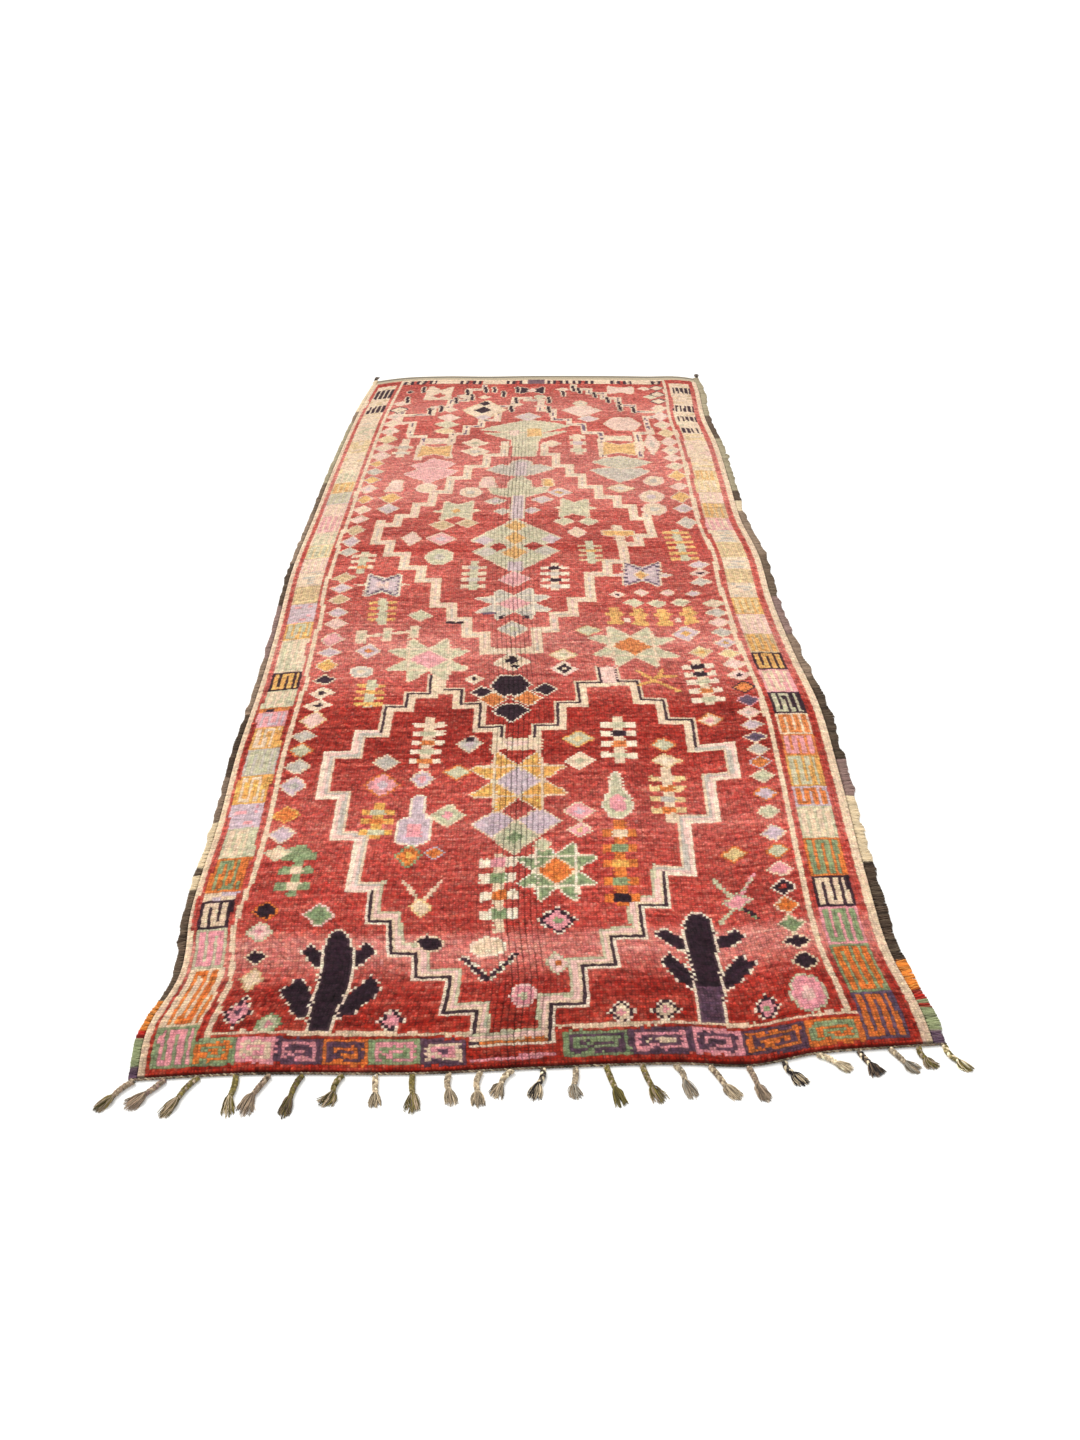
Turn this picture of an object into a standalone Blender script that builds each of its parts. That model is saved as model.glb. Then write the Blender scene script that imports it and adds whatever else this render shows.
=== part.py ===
"""Long hand-knotted village runner lying flat on a floor, with a plaited fringe at one end.

Metres, +Z up. The floor is z = 0 and the origin is the middle of the rug's footprint on it.
+Y runs along the rug, away from the fringe, and +X runs across it.

Every plan point below is first written from the middle of the fringed edge, and MIDDLE moves
it to the rug's own frame. One part of the rug rests against the next with a gap of GAP.
"""

import math
import random

import bmesh
import bpy
import numpy as np

MIDDLE = (-0.026, 2.138)

GAP = 0.0003
PILE_THICK = 0.012
PILE_WAVE = 0.0014
PILE_COLUMNS = 20
PILE_ROWS = 64

SELVEDGE_THICK = 0.0070
LEFT_SELVEDGE_WIDE = 0.020
RIGHT_SELVEDGE_WIDE = 0.030
LEFT_SELVEDGE_CORDS = 2
RIGHT_SELVEDGE_CORDS = 3
CORD_GROOVE = 0.0018

END_BAND_WIDE = 0.083
END_BAND_THICK = 0.0042

END_CORD_WIDE = 0.0075
END_CORD_THICK = 0.0062

STEM_WIDE = 0.0105
STEM_THICK = 0.0072
STEM_STEPS = 7
STEM_SHARE = 0.64
LOCKS = 6
LOCK_THICK = 0.0036
TUFT_SPREAD = 0.0085
STEM_BEND = 0.005

CORNER_TUFT_WIDE = 0.026
CORNER_TUFT_THICK = 0.0075
CORNER_HEAD_LONG = 0.016

# The outline, as a hand-woven rug wanders. Side edges: how far along, then how far across.
LEFT_EDGE = (
    (-0.04, -0.824),
    (0.09, -0.838),
    (0.24, -0.810),
    (0.44, -0.833),
    (0.77, -0.842),
    (1.05, -0.858),
    (1.45, -0.864),
    (1.75, -0.876),
    (2.17, -0.899),
    (2.63, -0.894),
    (3.21, -0.887),
    (3.87, -0.864),
    (4.20, -0.838),
    (4.38, -0.820),
)
RIGHT_EDGE = (
    (0.02, 0.834),
    (0.14, 0.831),
    (0.31, 0.808),
    (0.56, 0.813),
    (0.98, 0.836),
    (1.31, 0.848),
    (1.62, 0.828),
    (1.97, 0.816),
    (2.32, 0.823),
    (2.60, 0.802),
    (2.98, 0.807),
    (3.43, 0.810),
    (3.70, 0.797),
    (4.22, 0.810),
    (4.42, 0.800),
)
# The two ends of the pile: how far across, then how far along.
NEAR_END = (
    (-0.825, -0.030),
    (-0.62, -0.016),
    (-0.22, -0.013),
    (0.0, 0.0),
    (0.28, 0.010),
    (0.43, 0.006),
    (0.56, 0.036),
    (0.69, 0.049),
    (0.83, 0.060),
)
FAR_END = (
    (-0.81, 4.202),
    (-0.70, 4.252),
    (-0.47, 4.287),
    (-0.24, 4.282),
    (0.0, 4.292),
    (0.30, 4.292),
    (0.55, 4.282),
    (0.76, 4.270),
    (0.81, 4.242),
)
END_REACH = 0.80

# The plaited tassels: root across, then the tip's offset from the root, across and along.
TASSELS = (
    (-0.811, -0.032, -0.078),
    (-0.750, -0.034, -0.077),
    (-0.685, -0.026, -0.103),
    (-0.610, -0.003, -0.106),
    (-0.544, -0.029, -0.097),
    (-0.478, -0.027, -0.108),
    (-0.398, -0.022, -0.084),
    (-0.332, 0.009, -0.084),
    (-0.258, 0.009, -0.098),
    (-0.185, 0.005, -0.084),
    (-0.123, -0.005, -0.092),
    (-0.059, -0.039, -0.070),
    (0.003, -0.020, -0.082),
    (0.068, -0.008, -0.082),
    (0.130, 0.017, -0.106),
    (0.203, 0.013, -0.100),
    (0.269, 0.031, -0.090),
    (0.339, 0.033, -0.090),
    (0.416, 0.012, -0.090),
    (0.491, 0.026, -0.069),
    (0.561, 0.064, -0.048),
    (0.647, 0.031, -0.070),
    (0.712, 0.041, -0.071),
    (0.772, 0.012, -0.064),
    (0.826, 0.010, -0.074),
)

COLOURS = {
    "pile_rug": (0.55, 0.05, 0.04),
    "selvedge_left": (0.22, 0.17, 0.13),
    "selvedge_right": (0.20, 0.15, 0.12),
    "end_band_far": (0.72, 0.60, 0.44),
    "fringe_near": (0.24, 0.22, 0.12),
    "corner_tuft_left": (0.06, 0.05, 0.05),
    "corner_tuft_right": (0.06, 0.05, 0.05),
}
WOOL_ROUGHNESS = 0.9


def smooth(table, at):
    """A smooth curve through a two-column table, read at one place or at many."""
    xs, ys = np.array(table, float).T
    slopes = np.gradient(ys, xs)
    at = np.clip(np.asarray(at, float), xs[0], xs[-1])
    cell = np.clip(np.searchsorted(xs, at) - 1, 0, len(xs) - 2)
    wide = xs[cell + 1] - xs[cell]
    u = (at - xs[cell]) / wide
    rise = (2 * u**3 - 3 * u**2 + 1) * ys[cell] + (3 * u**2 - 2 * u**3) * ys[cell + 1]
    lean = (u**3 - 2 * u**2 + u) * slopes[cell] + (u**3 - u**2) * slopes[cell + 1]
    return rise + wide * lean


def loom_point(across, along):
    """Where a knot lies on the floor: across and along run from 0 to 1 over the pile."""
    reach = -END_REACH + 2 * END_REACH * across
    y = (1 - along) * smooth(NEAR_END, reach) + along * smooth(FAR_END, reach)
    left = smooth(LEFT_EDGE, y) + LEFT_SELVEDGE_WIDE
    right = smooth(RIGHT_EDGE, y) - RIGHT_SELVEDGE_WIDE
    return np.array(((1 - across) * left + across * right, y)).T


def pile_border(across=None, along=None):
    """One border of the pile as a line of plan points, with the slab's own spacing."""
    if across is None:
        across = np.linspace(0, 1, PILE_COLUMNS + 1)
        return loom_point(across, np.full_like(across, along))
    along = np.linspace(0, 1, PILE_ROWS + 1)
    return loom_point(np.full_like(along, across), along)


def pile_top(x, y):
    """Height of the pile, which lies a little uneven on its floor."""
    return PILE_THICK + PILE_WAVE * (
        0.6 * math.sin(2.3 * y + 1.4 * math.sin(1.9 * x))
        + 0.4 * math.sin(5.3 * x + 0.9 * y)
    )


def new_object(name, bm):
    """Moves a finished mesh to the rug's frame and gives it its own wool material."""
    bmesh.ops.translate(bm, verts=bm.verts, vec=(-MIDDLE[0], -MIDDLE[1], 0))
    bmesh.ops.recalc_face_normals(bm, faces=bm.faces)
    mesh = bpy.data.meshes.new(name)
    bm.to_mesh(mesh)
    bm.free()
    material = bpy.data.materials.new(name)
    material.use_nodes = True
    shader = material.node_tree.nodes["Principled BSDF"]
    shader.inputs["Base Color"].default_value = (*COLOURS[name], 1)
    shader.inputs["Roughness"].default_value = WOOL_ROUGHNESS
    shader.inputs["Metallic"].default_value = 0
    mesh.materials.append(material)
    made = bpy.data.objects.new(name, mesh)
    bpy.context.scene.collection.objects.link(made)
    return made


def sweep(bm, stations, open_faces=()):
    """Skins closed sections, one list of points each; open_faces are (station, side) left out."""
    rings = [[bm.verts.new(point) for point in section] for section in stations]
    sides = len(rings[0])
    for index, (here, there) in enumerate(zip(rings, rings[1:])):
        for side in range(sides):
            if (index, side) in open_faces:
                continue
            after = (side + 1) % sides
            bm.faces.new((here[side], here[after], there[after], there[side]))
    bm.faces.new(list(reversed(rings[0])))
    bm.faces.new(rings[-1])
    return rings


def build_pile():
    """The knotted slab: a fine grid over the top, and one flat underside."""
    bm = bmesh.new()
    grid = []
    for along in np.linspace(0, 1, PILE_ROWS + 1):
        line = []
        for across in np.linspace(0, 1, PILE_COLUMNS + 1):
            x, y = loom_point(across, along)
            line.append(bm.verts.new((x, y, pile_top(x, y))))
        grid.append(line)
    for low, high in zip(grid, grid[1:]):
        for a, b, c, d in zip(low, low[1:], high[1:], high):
            bm.faces.new((a, b, c, d))
    rim = grid[0] + [line[-1] for line in grid[1:]] + grid[-1][-2::-1]
    rim += [line[0] for line in grid[-2:0:-1]]
    foot = [bm.verts.new((vert.co.x, vert.co.y, 0)) for vert in rim]
    for here in range(len(rim)):
        after = (here + 1) % len(rim)
        bm.faces.new((rim[here], foot[here], foot[after], rim[after]))
    bm.faces.new(foot)
    new_object("pile_rug", bm)


def corded_section(inner_x, outer_x, y, cords):
    """A selvedge's section: flat below, and one soft rib over each warp cord that it wraps."""
    points = [(inner_x, y, 0), (outer_x, y, 0)]
    for step in range(2 * cords + 1):
        across = 1 - step / (2 * cords)
        height = SELVEDGE_THICK if step % 2 else SELVEDGE_THICK - CORD_GROOVE
        if step in (0, 2 * cords):
            height = SELVEDGE_THICK * 0.6
        points.append((inner_x + across * (outer_x - inner_x), y, height))
    return points


def build_selvedge(name, across, edge, cords):
    """Overcast edge beside the pile, carried on past the flat-woven band to the far end."""
    bm = bmesh.new()
    side = -1 if across == 0 else 1
    stations = []
    border = pile_border(across=across)
    past = border[-1] + (0, END_BAND_WIDE)
    for x, y in (*border, (border[-1] + past) / 2, past):
        outer_x = float(smooth(edge, y))
        stations.append(corded_section(x + side * GAP, outer_x, y, cords))
    sweep(bm, stations)
    new_object(name, bm)


def build_end_band():
    """Flat-woven band past the last row of knots, thinner than the pile."""
    bm = bmesh.new()
    stations = []
    for x, y in pile_border(along=1.0):
        inner, outer = y + GAP, y + END_BAND_WIDE
        low, high = 0, END_BAND_THICK
        stations.append(((x, inner, low), (x, outer, low), (x, outer, high), (x, inner, high)))
    sweep(bm, stations)
    new_object("end_band_far", bm)


def split_ring(bm, ring, centre, forward, wide, thick):
    """The head of a tuft: one stem's ring of four points opens to a row of lock roots."""
    aside = np.array((-forward[1], forward[0]))
    low, high = [], []
    for step in range(LOCKS + 1):
        place = centre + aside * wide * (step / LOCKS - 0.5)
        crown = thick * (1 - 0.45 * abs(2 * step / LOCKS - 1))
        low.append(bm.verts.new((*place, 0)))
        high.append(bm.verts.new((*place, crown)))
    bl, br, tr, tl = ring
    bm.faces.new((bl, *low, br))
    bm.faces.new((tl, tr, *reversed(high)))
    bm.faces.new((bl, tl, high[0], low[0]))
    bm.faces.new((br, low[-1], high[-1], tr))
    return low, high


def grow_locks(bm, low, high, centre, forward, reach, spread, chance):
    """Loose locks of yarn, fused at their roots, each one lying on the floor to its tip."""
    aside = np.array((-forward[1], forward[0]))
    for lock in range(LOCKS):
        turn = 2 * (lock + 0.5) / LOCKS - 1
        long = reach * (1 - 0.18 * turn * turn) * chance.uniform(0.82, 1.0)
        tip = centre + forward * long + aside * turn * spread
        root = [low[lock], low[lock + 1], high[lock + 1], high[lock]]
        root_mid = (np.array(low[lock].co.xy) + np.array(low[lock + 1].co.xy)) / 2
        half = np.array(low[lock + 1].co.xy) - root_mid
        waist = root_mid * 0.45 + tip * 0.55
        ring = []
        for side, height in ((-1, 0), (1, 0), (0.5, LOCK_THICK), (-0.5, LOCK_THICK)):
            ring.append(bm.verts.new((*(waist + half * side * 0.85), height)))
        for corner in range(4):
            after = (corner + 1) % 4
            bm.faces.new((root[corner], root[after], ring[after], ring[corner]))
        end = bm.verts.new((*tip, 0))
        for corner in range(4):
            bm.faces.new((ring[corner], ring[(corner + 1) % 4], end))


def grow_tassel(bm, ring, root, offset, chance):
    """A plaited stem from a face of the end cord, then its unplaited locks."""
    root, offset = np.array(root), np.array(offset)
    forward = offset / np.linalg.norm(offset)
    aside = np.array((-forward[1], forward[0]))
    bend = chance.uniform(-STEM_BEND, STEM_BEND)
    for step in range(1, STEM_STEPS):
        share = STEM_SHARE * step / (STEM_STEPS - 0.5)
        bow = bend * math.sin(math.pi * share / STEM_SHARE)
        centre = root + offset * share + aside * bow
        swell = 1.12 if step % 2 else 0.84
        half = STEM_WIDE * 0.5 * swell
        shape = ((-1, 0), (1, 0), (0.55, STEM_THICK * swell), (-0.55, STEM_THICK * swell))
        after = [bm.verts.new((*(centre + aside * half * u), z)) for u, z in shape]
        for corner in range(4):
            beside = (corner + 1) % 4
            bm.faces.new((ring[corner], ring[beside], after[beside], after[corner]))
        ring = after
    centre = root + offset * STEM_SHARE
    low, high = split_ring(bm, ring, centre, forward, STEM_WIDE * 1.3, LOCK_THICK * 1.5)
    reach = (1.02 - STEM_SHARE) * np.linalg.norm(offset)
    grow_locks(bm, low, high, centre, forward, reach, TUFT_SPREAD, chance)


def end_cord_line():
    """Inner line of the end cord: the pile's near border, carried past both selvedges."""
    border = pile_border(along=0.0)
    first, last = border[0], border[-1]
    start = (float(smooth(LEFT_EDGE, first[1])), first[1])
    end = (float(smooth(RIGHT_EDGE, last[1])), last[1])
    return np.array((start, *border, end))


def end_cord_section(x, inner, crown):
    """The end cord's section: flat below, round above, its front face ready for a stem."""
    front = inner - END_CORD_WIDE
    shoulder = END_CORD_THICK * 0.75
    middle = inner - END_CORD_WIDE / 2
    return (
        (x, inner, 0),
        (x, front, 0),
        (x, front, shoulder),
        (x, middle, crown),
        (x, inner, shoulder),
    )


def build_fringe():
    """The twined cord along the near end, and the plaited tassels fused to its front."""
    chance = random.Random(4)
    line = end_cord_line()
    half = STEM_WIDE / 2
    roots = [row[0] for row in TASSELS]
    places = [float(x) for x in line[:, 0] if all(abs(x - root) > half for root in roots)]
    places += [root - half for root in roots] + [root + half for root in roots]
    places.sort()
    stations = []
    for number, x in enumerate(places):
        inner = float(np.interp(x, line[:, 0], line[:, 1])) - GAP
        crown = END_CORD_THICK * (1 if number % 2 else 0.86)
        stations.append(end_cord_section(x, inner, crown))
    bm = bmesh.new()
    stems = {(places.index(root - half), 1): row for root, row in zip(roots, TASSELS)}
    rings = sweep(bm, stations, stems)
    for (number, _), (root_x, across, along) in stems.items():
        here, there = rings[number], rings[number + 1]
        front = (here[1].co.y + there[1].co.y) / 2
        ring = [here[1], there[1], there[2], here[2]]
        grow_tassel(bm, ring, (root_x, front), (across, along), chance)
    new_object("fringe_near", bm)


def build_corner_tuft(name, corner, offset):
    """A tied tuft of dark yarn left at a far corner: a bound head and its loose locks."""
    chance = random.Random(9)
    corner, offset = np.array(corner), np.array(offset)
    forward = offset / np.linalg.norm(offset)
    aside = np.array((-forward[1], forward[0]))
    wide, thick = CORNER_TUFT_WIDE * 0.6, CORNER_TUFT_THICK
    bm = bmesh.new()
    rings = []
    waist = corner + forward * CORNER_HEAD_LONG * 0.6
    for centre, along, size in ((corner, np.array((-1, 0)), 1.0), (waist, aside, 0.76)):
        ring = []
        for u, z in ((-0.5, 0), (0.5, 0), (0.4, thick * size), (-0.4, thick * size)):
            ring.append(bm.verts.new((*(centre + along * u * wide * size), z)))
        rings.append(ring)
    start, ring = rings
    bm.faces.new(start)
    for place in range(4):
        after = (place + 1) % 4
        bm.faces.new((start[place], start[after], ring[after], ring[place]))
    centre = corner + forward * CORNER_HEAD_LONG
    low, high = split_ring(bm, ring, centre, forward, wide, thick * 0.7)
    reach = np.linalg.norm(offset) - CORNER_HEAD_LONG
    grow_locks(bm, low, high, centre, forward, reach, CORNER_TUFT_WIDE / 2, chance)
    new_object(name, bm)


def main():
    for old in list(bpy.data.objects):
        bpy.data.objects.remove(old, do_unlink=True)
    build_pile()
    build_selvedge("selvedge_left", 0, LEFT_EDGE, LEFT_SELVEDGE_CORDS)
    build_selvedge("selvedge_right", 1, RIGHT_EDGE, RIGHT_SELVEDGE_CORDS)
    build_end_band()
    build_fringe()
    far = pile_border(along=1.0)
    past = END_BAND_WIDE + GAP
    left = far[0] + (-LEFT_SELVEDGE_WIDE / 2, past)
    right = far[-1] + (RIGHT_SELVEDGE_WIDE / 2, past)
    build_corner_tuft("corner_tuft_left", left, (0.004, 0.072))
    build_corner_tuft("corner_tuft_right", right, (0.006, 0.078))


main()
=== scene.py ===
"""Looks of a hand-knotted village runner: knotted pile, overcast edges, flat weave and plaits.

The pattern is charted on a loom of knots, in rows counted from the fringed end and
columns counted from the left. The motifs are traditional ones, listed below in short tables.
"""

import functools
import math

import bpy
import numpy as np
from bpy.props import (FloatProperty, FloatVectorProperty, IntProperty, PointerProperty)
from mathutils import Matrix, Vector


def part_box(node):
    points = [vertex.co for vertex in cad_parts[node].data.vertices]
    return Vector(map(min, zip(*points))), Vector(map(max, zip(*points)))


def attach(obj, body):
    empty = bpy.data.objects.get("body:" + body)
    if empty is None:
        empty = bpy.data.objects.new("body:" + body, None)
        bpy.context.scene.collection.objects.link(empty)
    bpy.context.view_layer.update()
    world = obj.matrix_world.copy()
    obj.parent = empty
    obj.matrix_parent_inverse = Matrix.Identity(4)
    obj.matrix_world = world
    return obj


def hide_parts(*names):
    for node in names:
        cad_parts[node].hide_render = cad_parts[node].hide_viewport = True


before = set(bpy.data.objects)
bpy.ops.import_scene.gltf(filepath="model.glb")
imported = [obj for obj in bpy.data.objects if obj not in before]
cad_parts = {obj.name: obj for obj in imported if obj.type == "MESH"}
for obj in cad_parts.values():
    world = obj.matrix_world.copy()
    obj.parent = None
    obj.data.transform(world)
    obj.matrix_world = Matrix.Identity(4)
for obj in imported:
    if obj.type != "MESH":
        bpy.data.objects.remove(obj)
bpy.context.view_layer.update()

bl_info = {
    "name": "Village Runner", "version": (1, 0, 0), "blender": (4, 5, 0),
    "location": "View3D > Sidebar > Rug",
    "description": "Builds a hand-knotted runner with overcast edges and a plaited fringe",
    "category": "Object",
}

# The loom: columns of knots across, rows of knots along, and the field between the borders.
COLUMNS = 228
ROWS = 592
SEED = 11

# The plan of the rug, repeated from the solids: measured from the middle of the fringed edge.
MIDDLE = (-0.026, 2.138)
PILE_THICK = 0.012
PILE_WAVE = 0.0014
LEFT_SELVEDGE_WIDE = 0.020
RIGHT_SELVEDGE_WIDE = 0.030
SELVEDGE_THICK = 0.0070
END_BAND_WIDE = 0.083
END_BAND_THICK = 0.0042
END_CORD_WIDE = 0.0075
END_REACH = 0.80
PLAN_SLACK = 0.002

LEFT_EDGE = (
    (-0.04, -0.824), (0.09, -0.838), (0.24, -0.810), (0.44, -0.833), (0.77, -0.842), (1.05, -0.858),
    (1.45, -0.864), (1.75, -0.876), (2.17, -0.899), (2.63, -0.894), (3.21, -0.887), (3.87, -0.864),
    (4.20, -0.838), (4.38, -0.820),
)
RIGHT_EDGE = (
    (0.02, 0.834), (0.14, 0.831), (0.31, 0.808), (0.56, 0.813), (0.98, 0.836), (1.31, 0.848),
    (1.62, 0.828), (1.97, 0.816), (2.32, 0.823), (2.60, 0.802), (2.98, 0.807), (3.43, 0.810),
    (3.70, 0.797), (4.22, 0.810), (4.42, 0.800),
)
NEAR_END = (
    (-0.825, -0.030), (-0.62, -0.016), (-0.22, -0.013), (0.0, 0.0), (0.28, 0.010), (0.43, 0.006),
    (0.56, 0.036), (0.69, 0.049), (0.83, 0.060),
)
FAR_END = (
    (-0.81, 4.202), (-0.70, 4.252), (-0.47, 4.287), (-0.24, 4.282), (0.0, 4.292), (0.30, 4.292),
    (0.55, 4.282), (0.76, 4.270), (0.81, 4.242),
)

# Dyes of the wool, as a colour picker shows them.
DYES = {
    "red": (176, 30, 20), "cream": (234, 202, 170), "white": (246, 220, 194), "black": (48, 28, 38),
    "purple": (96, 74, 96), "green": (136, 150, 108), "sage": (196, 190, 156),
    "grey": (190, 180, 168), "mauve": (200, 176, 184), "orange": (222, 114, 50),
    "gold": (238, 164, 78), "yellow": (232, 196, 136), "pink": (234, 150, 156),
    "blush": (240, 192, 180), "tan": (206, 172, 126), "plum": (92, 62, 78),
}
DYE_NAMES = list(DYES)
GROUND = DYE_NAMES.index("red")

# The red wool was dyed in five batches, used up one after the other.
BATCHES = {
    "deep": (140, 25, 10), "madder": (160, 40, 30), "brick": (180, 60, 50), "rose": (190, 80, 70),
    "faded": (205, 110, 100),
}
# Row of knots, and the batch of red that the field has reached there. The paler batches towards
# the far end stand partly for painted sheen.
ABRASH = (
    (0, "deep"), (30, "madder"), (42, "faded"), (50, "faded"), (54, "brick"), (85, "brick"),
    (105, "rose"), (135, "brick"), (150, "madder"), (180, "madder"), (195, "rose"), (232, "faded"),
    (262, "rose"), (318, "rose"), (326, "brick"), (336, "rose"), (366, "rose"), (390, "faded"),
    (450, "faded"), (500, "rose"), (535, "faded"), (592, "brick"),
)

# Blocks of the main border on the left: last row, frame dye, bar dye, drawing.
LEFT_BLOCKS = """
17 green pink bars, 40 cream orange bars, 57 sage pink bars, 70 black cream bars
74 cream mauve plain, 91 orange green bars, 107 sage cream bars, 121 mauve pink dots
138 gold cream bars, 155 grey sage bars, 170 gold cream bars, 181 pink mauve bars
184 orange black plain, 197 sage cream bars, 211 black gold bars, 239 cream sage bars
254 gold sage bars, 272 mauve pink dots, 290 tan yellow bars, 305 cream grey dots
320 blush cream bars, 335 yellow sage bars, 350 cream sage bars, 372 cream pink bars
387 blush cream bars, 402 grey sage bars, 417 yellow gold bars, 432 cream sage bars
462 cream yellow plain, 482 yellow cream plain, 508 cream sage plain, 520 cream grey dots
530 cream tan plain, 545 cream black strokes, 557 cream tan plain, 577 cream black strokes
584 cream tan plain
"""

# The same on the right.
RIGHT_BLOCKS = """
20 purple orange bars, 40 green orange bars, 57 pink green bars, 72 black cream bars
92 orange green bars, 110 sage cream bars, 122 mauve orange bars, 142 gold sage bars
156 orange pink bars, 171 cream orange bars, 187 black sage bars, 205 pink cream bars
219 black gold bars, 236 tan gold bars, 254 blush cream bars, 270 gold yellow bars
285 cream grey dots, 300 tan yellow bars, 313 cream grey dots, 330 yellow tan bars
345 cream grey dots, 360 pink cream bars, 380 tan gold bars, 395 blush cream bars
412 yellow cream bars, 427 yellow gold bars, 450 cream yellow plain, 475 cream blush plain
487 yellow cream plain, 498 cream black strokes, 508 cream sage plain, 519 cream black strokes
526 cream tan plain, 540 cream black strokes, 562 cream tan plain, 576 cream black strokes
584 cream tan plain
"""

# Squares of the near border: first column, last column, then dyes from the rim inwards.
NEAR_BLOCKS = """
14 27 green orange green orange, 27 38.5 pink cream pink cream, 38.5 52 plum pink plum pink
52 65.5 orange plum orange plum, 65.5 80 green pink green pink, 80 93 plum cream pink plum
121 140.5 green plum green plum, 140.5 159 plum pink plum cream, 159 173 pink plum pink plum
173 192 plum orange plum orange, 192 209 orange green orange green
"""

# Stepped outlines of the medallions: thread, which way is inwards across and along, column and
# row of the start, then the next column and the next row by turns.
STEPPED_LINES = """
foot 1 1 119 7 94 19 84 33 73 43 65 57 58 72
foot -1 1 94 7 119 20 129 35 140 47 151 61 160 77
soft 1 1 58 72 50 98 41 121 33 136
soft -1 1 160 77 170 105 181 129 191 138
soft 1 -1 33 134 33 151 43 165 52
soft -1 -1 191 136 191 153 178
lined 1 -1 52 165 52 183 60 193 69 207
lined -1 -1 177 153 177 172 167 186 158 200 150 210
lined -1 -1 77.5 207 77.5 196 85 185 93.5 168 102 153
lined 1 -1 111.5 153 111.5 168 121 184 130 199 140 211
pale 1 1 103 222 91 237 83 251 76 265 68 279
pale -1 1 110 222 118.5 240 127.5 254 137 268 146 274
pale 1 1 68 276 68 290 60 303 51 318 42 332 34 357
pale -1 1 146 270 146 294 155 308 164 328 173 338 181 364
pale 1 -1 34 358 43 369 51 384 59 401 67 421 76 438 86 455 96 475
pale -1 -1 181 364 174 380 166 392 156 406 147 423 140 437 132 455 125 470
dashed 1 -1 63 452 63 490 71 503 80 514 90 540 99 556 108
dashed -1 -1 160 452 160 491 150 506 141 514 131 532 122 552 112
dashed -1 -1 50 450 50 486 41 510 31 530
dashed 1 -1 178 452 178 491 187 520 196 540
dashed 1 -1 31 524 46 538 56 552 66 574 76 582
dashed -1 -1 196 530 184 542 174 556 164 566 154 574 143 582
"""

# Threads of each kind of stepped outline: offset inwards, width, dye; a second dye alternates.
STEPPED_THREADS = {
    "foot": "0 1 white, 1 1.15 black, 2.15 1 cream, 3.15 1.3 blush, 4.45 1.1 sage",
    "soft": "0 1.4 white, 1.4 1.2 blush, 2.6 1.4 grey, 4 1.2 cream",
    "lined": "0 1.3 cream, 1.3 1 black, 2.3 2.4 cream",
    "pale": "0 4.8 cream, 1.8 1.2 grey/blush",
    "dashed": "0 4.6 cream, 1.6 1.1 purple/blush",
}

# Combs: column, rows, half trunk, half bar, dyes of trunk and bars, then row and heart of each bar.
COMBS = """
32 70 96 1.6 6 green green 75 cream 82.5 cream 90 green
102 52 90 1.9 6.5 cream white 60 green 69 orange 77.5 green 85.5 pink
144 62 106 2.2 6 orange orange 66 black 74 green 83 gold 91 green 99 cream
57 99 119 2 6 gold gold 103 sage 108.5 orange 113.5 sage
72 140 174 2.2 6.3 cream white 144.5 orange 150.5 sage 157 orange 163 sage 169 cream
146 140 172 2.2 7 cream white 145.5 sage 153 orange 160 black 166 sage
163 105 138 2 6.5 cream yellow 112 orange 118.5 grey 125 orange 131 cream
46 181 202 1.9 6 sage gold 183.5 gold 188 sage 192.5 gold 197.5 sage
46.5 249 274 1.9 6.5 sage gold 254 sage 259 sage 264.5 sage 270 sage
184 180 216 2.2 7 cream white 184 sage 191 orange 198 sage 204 black 210 black
88 282 313 2 6 sage cream 286 sage 293 grey 299 sage 305.5 grey
127 280 309 2 6.8 cream white 284 grey 290.5 black 297 grey 303.5 black
33 300 324 2 6 sage cream 306.5 orange 313.5 sage 319.5 cream
145 308 334 2 6 sage tan 312 sage 317 sage 322.5 gold 328 sage
191 310 347 2 7 sage gold 313 sage 319 gold 325.5 sage 331.5 gold 337.5 sage 343 gold
143 452 486 2.4 5 cream cream 459 sage 471 mauve 481 cream
37 450 480 2.6 5.5 cream cream 457 grey 466 grey
"""

# First shapes, over the outlines and under all the rest. They are written as those below.
FIRST_LEAVES = """
cream - 93 228 97 228 107 221.5 112 228 116 228 116 222 93 222
"""
FIRST_MOTIFS = """
block 106.7 154.5 10 4 cream - blush, block 73.5 200 2.6 8 cream
block 145 204 3.2 6.5 blush, block 80.5 251 4 0.8 black
"""

# Slanting strokes: from column, row to column, row, then half width and dye.
STROKES = """
78 2.4 120 3 0.7 pink, 97 8.7 116 8.7 0.6 orange
90 42 97.5 32.5 1.5 white/ground, 97.5 32.5 107 42.5 1.5 white/ground, 90 42 97.5 32.5 0.7 black
97.5 32.5 107 42.5 0.7 black/sage, 70 77 75.5 68.5 0.8 cream, 83 77.5 77.5 68.5 0.8 cream
175.5 75 180.5 66.5 0.8 sage, 189 75 184 66.5 0.8 sage/pink, 176 55 180.5 60 0.8 sage
188.5 54.5 184 60 0.8 green/black, 38 238.5 62 242.5 1.3 cream, 157.5 206.5 164 199 0.9 gold
168.5 208 163 199 0.9 gold, 157 196 164 199.5 0.9 gold, 163 200 172.5 191.5 1 gold
166 202 173 203.5 0.9 gold
"""

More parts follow.
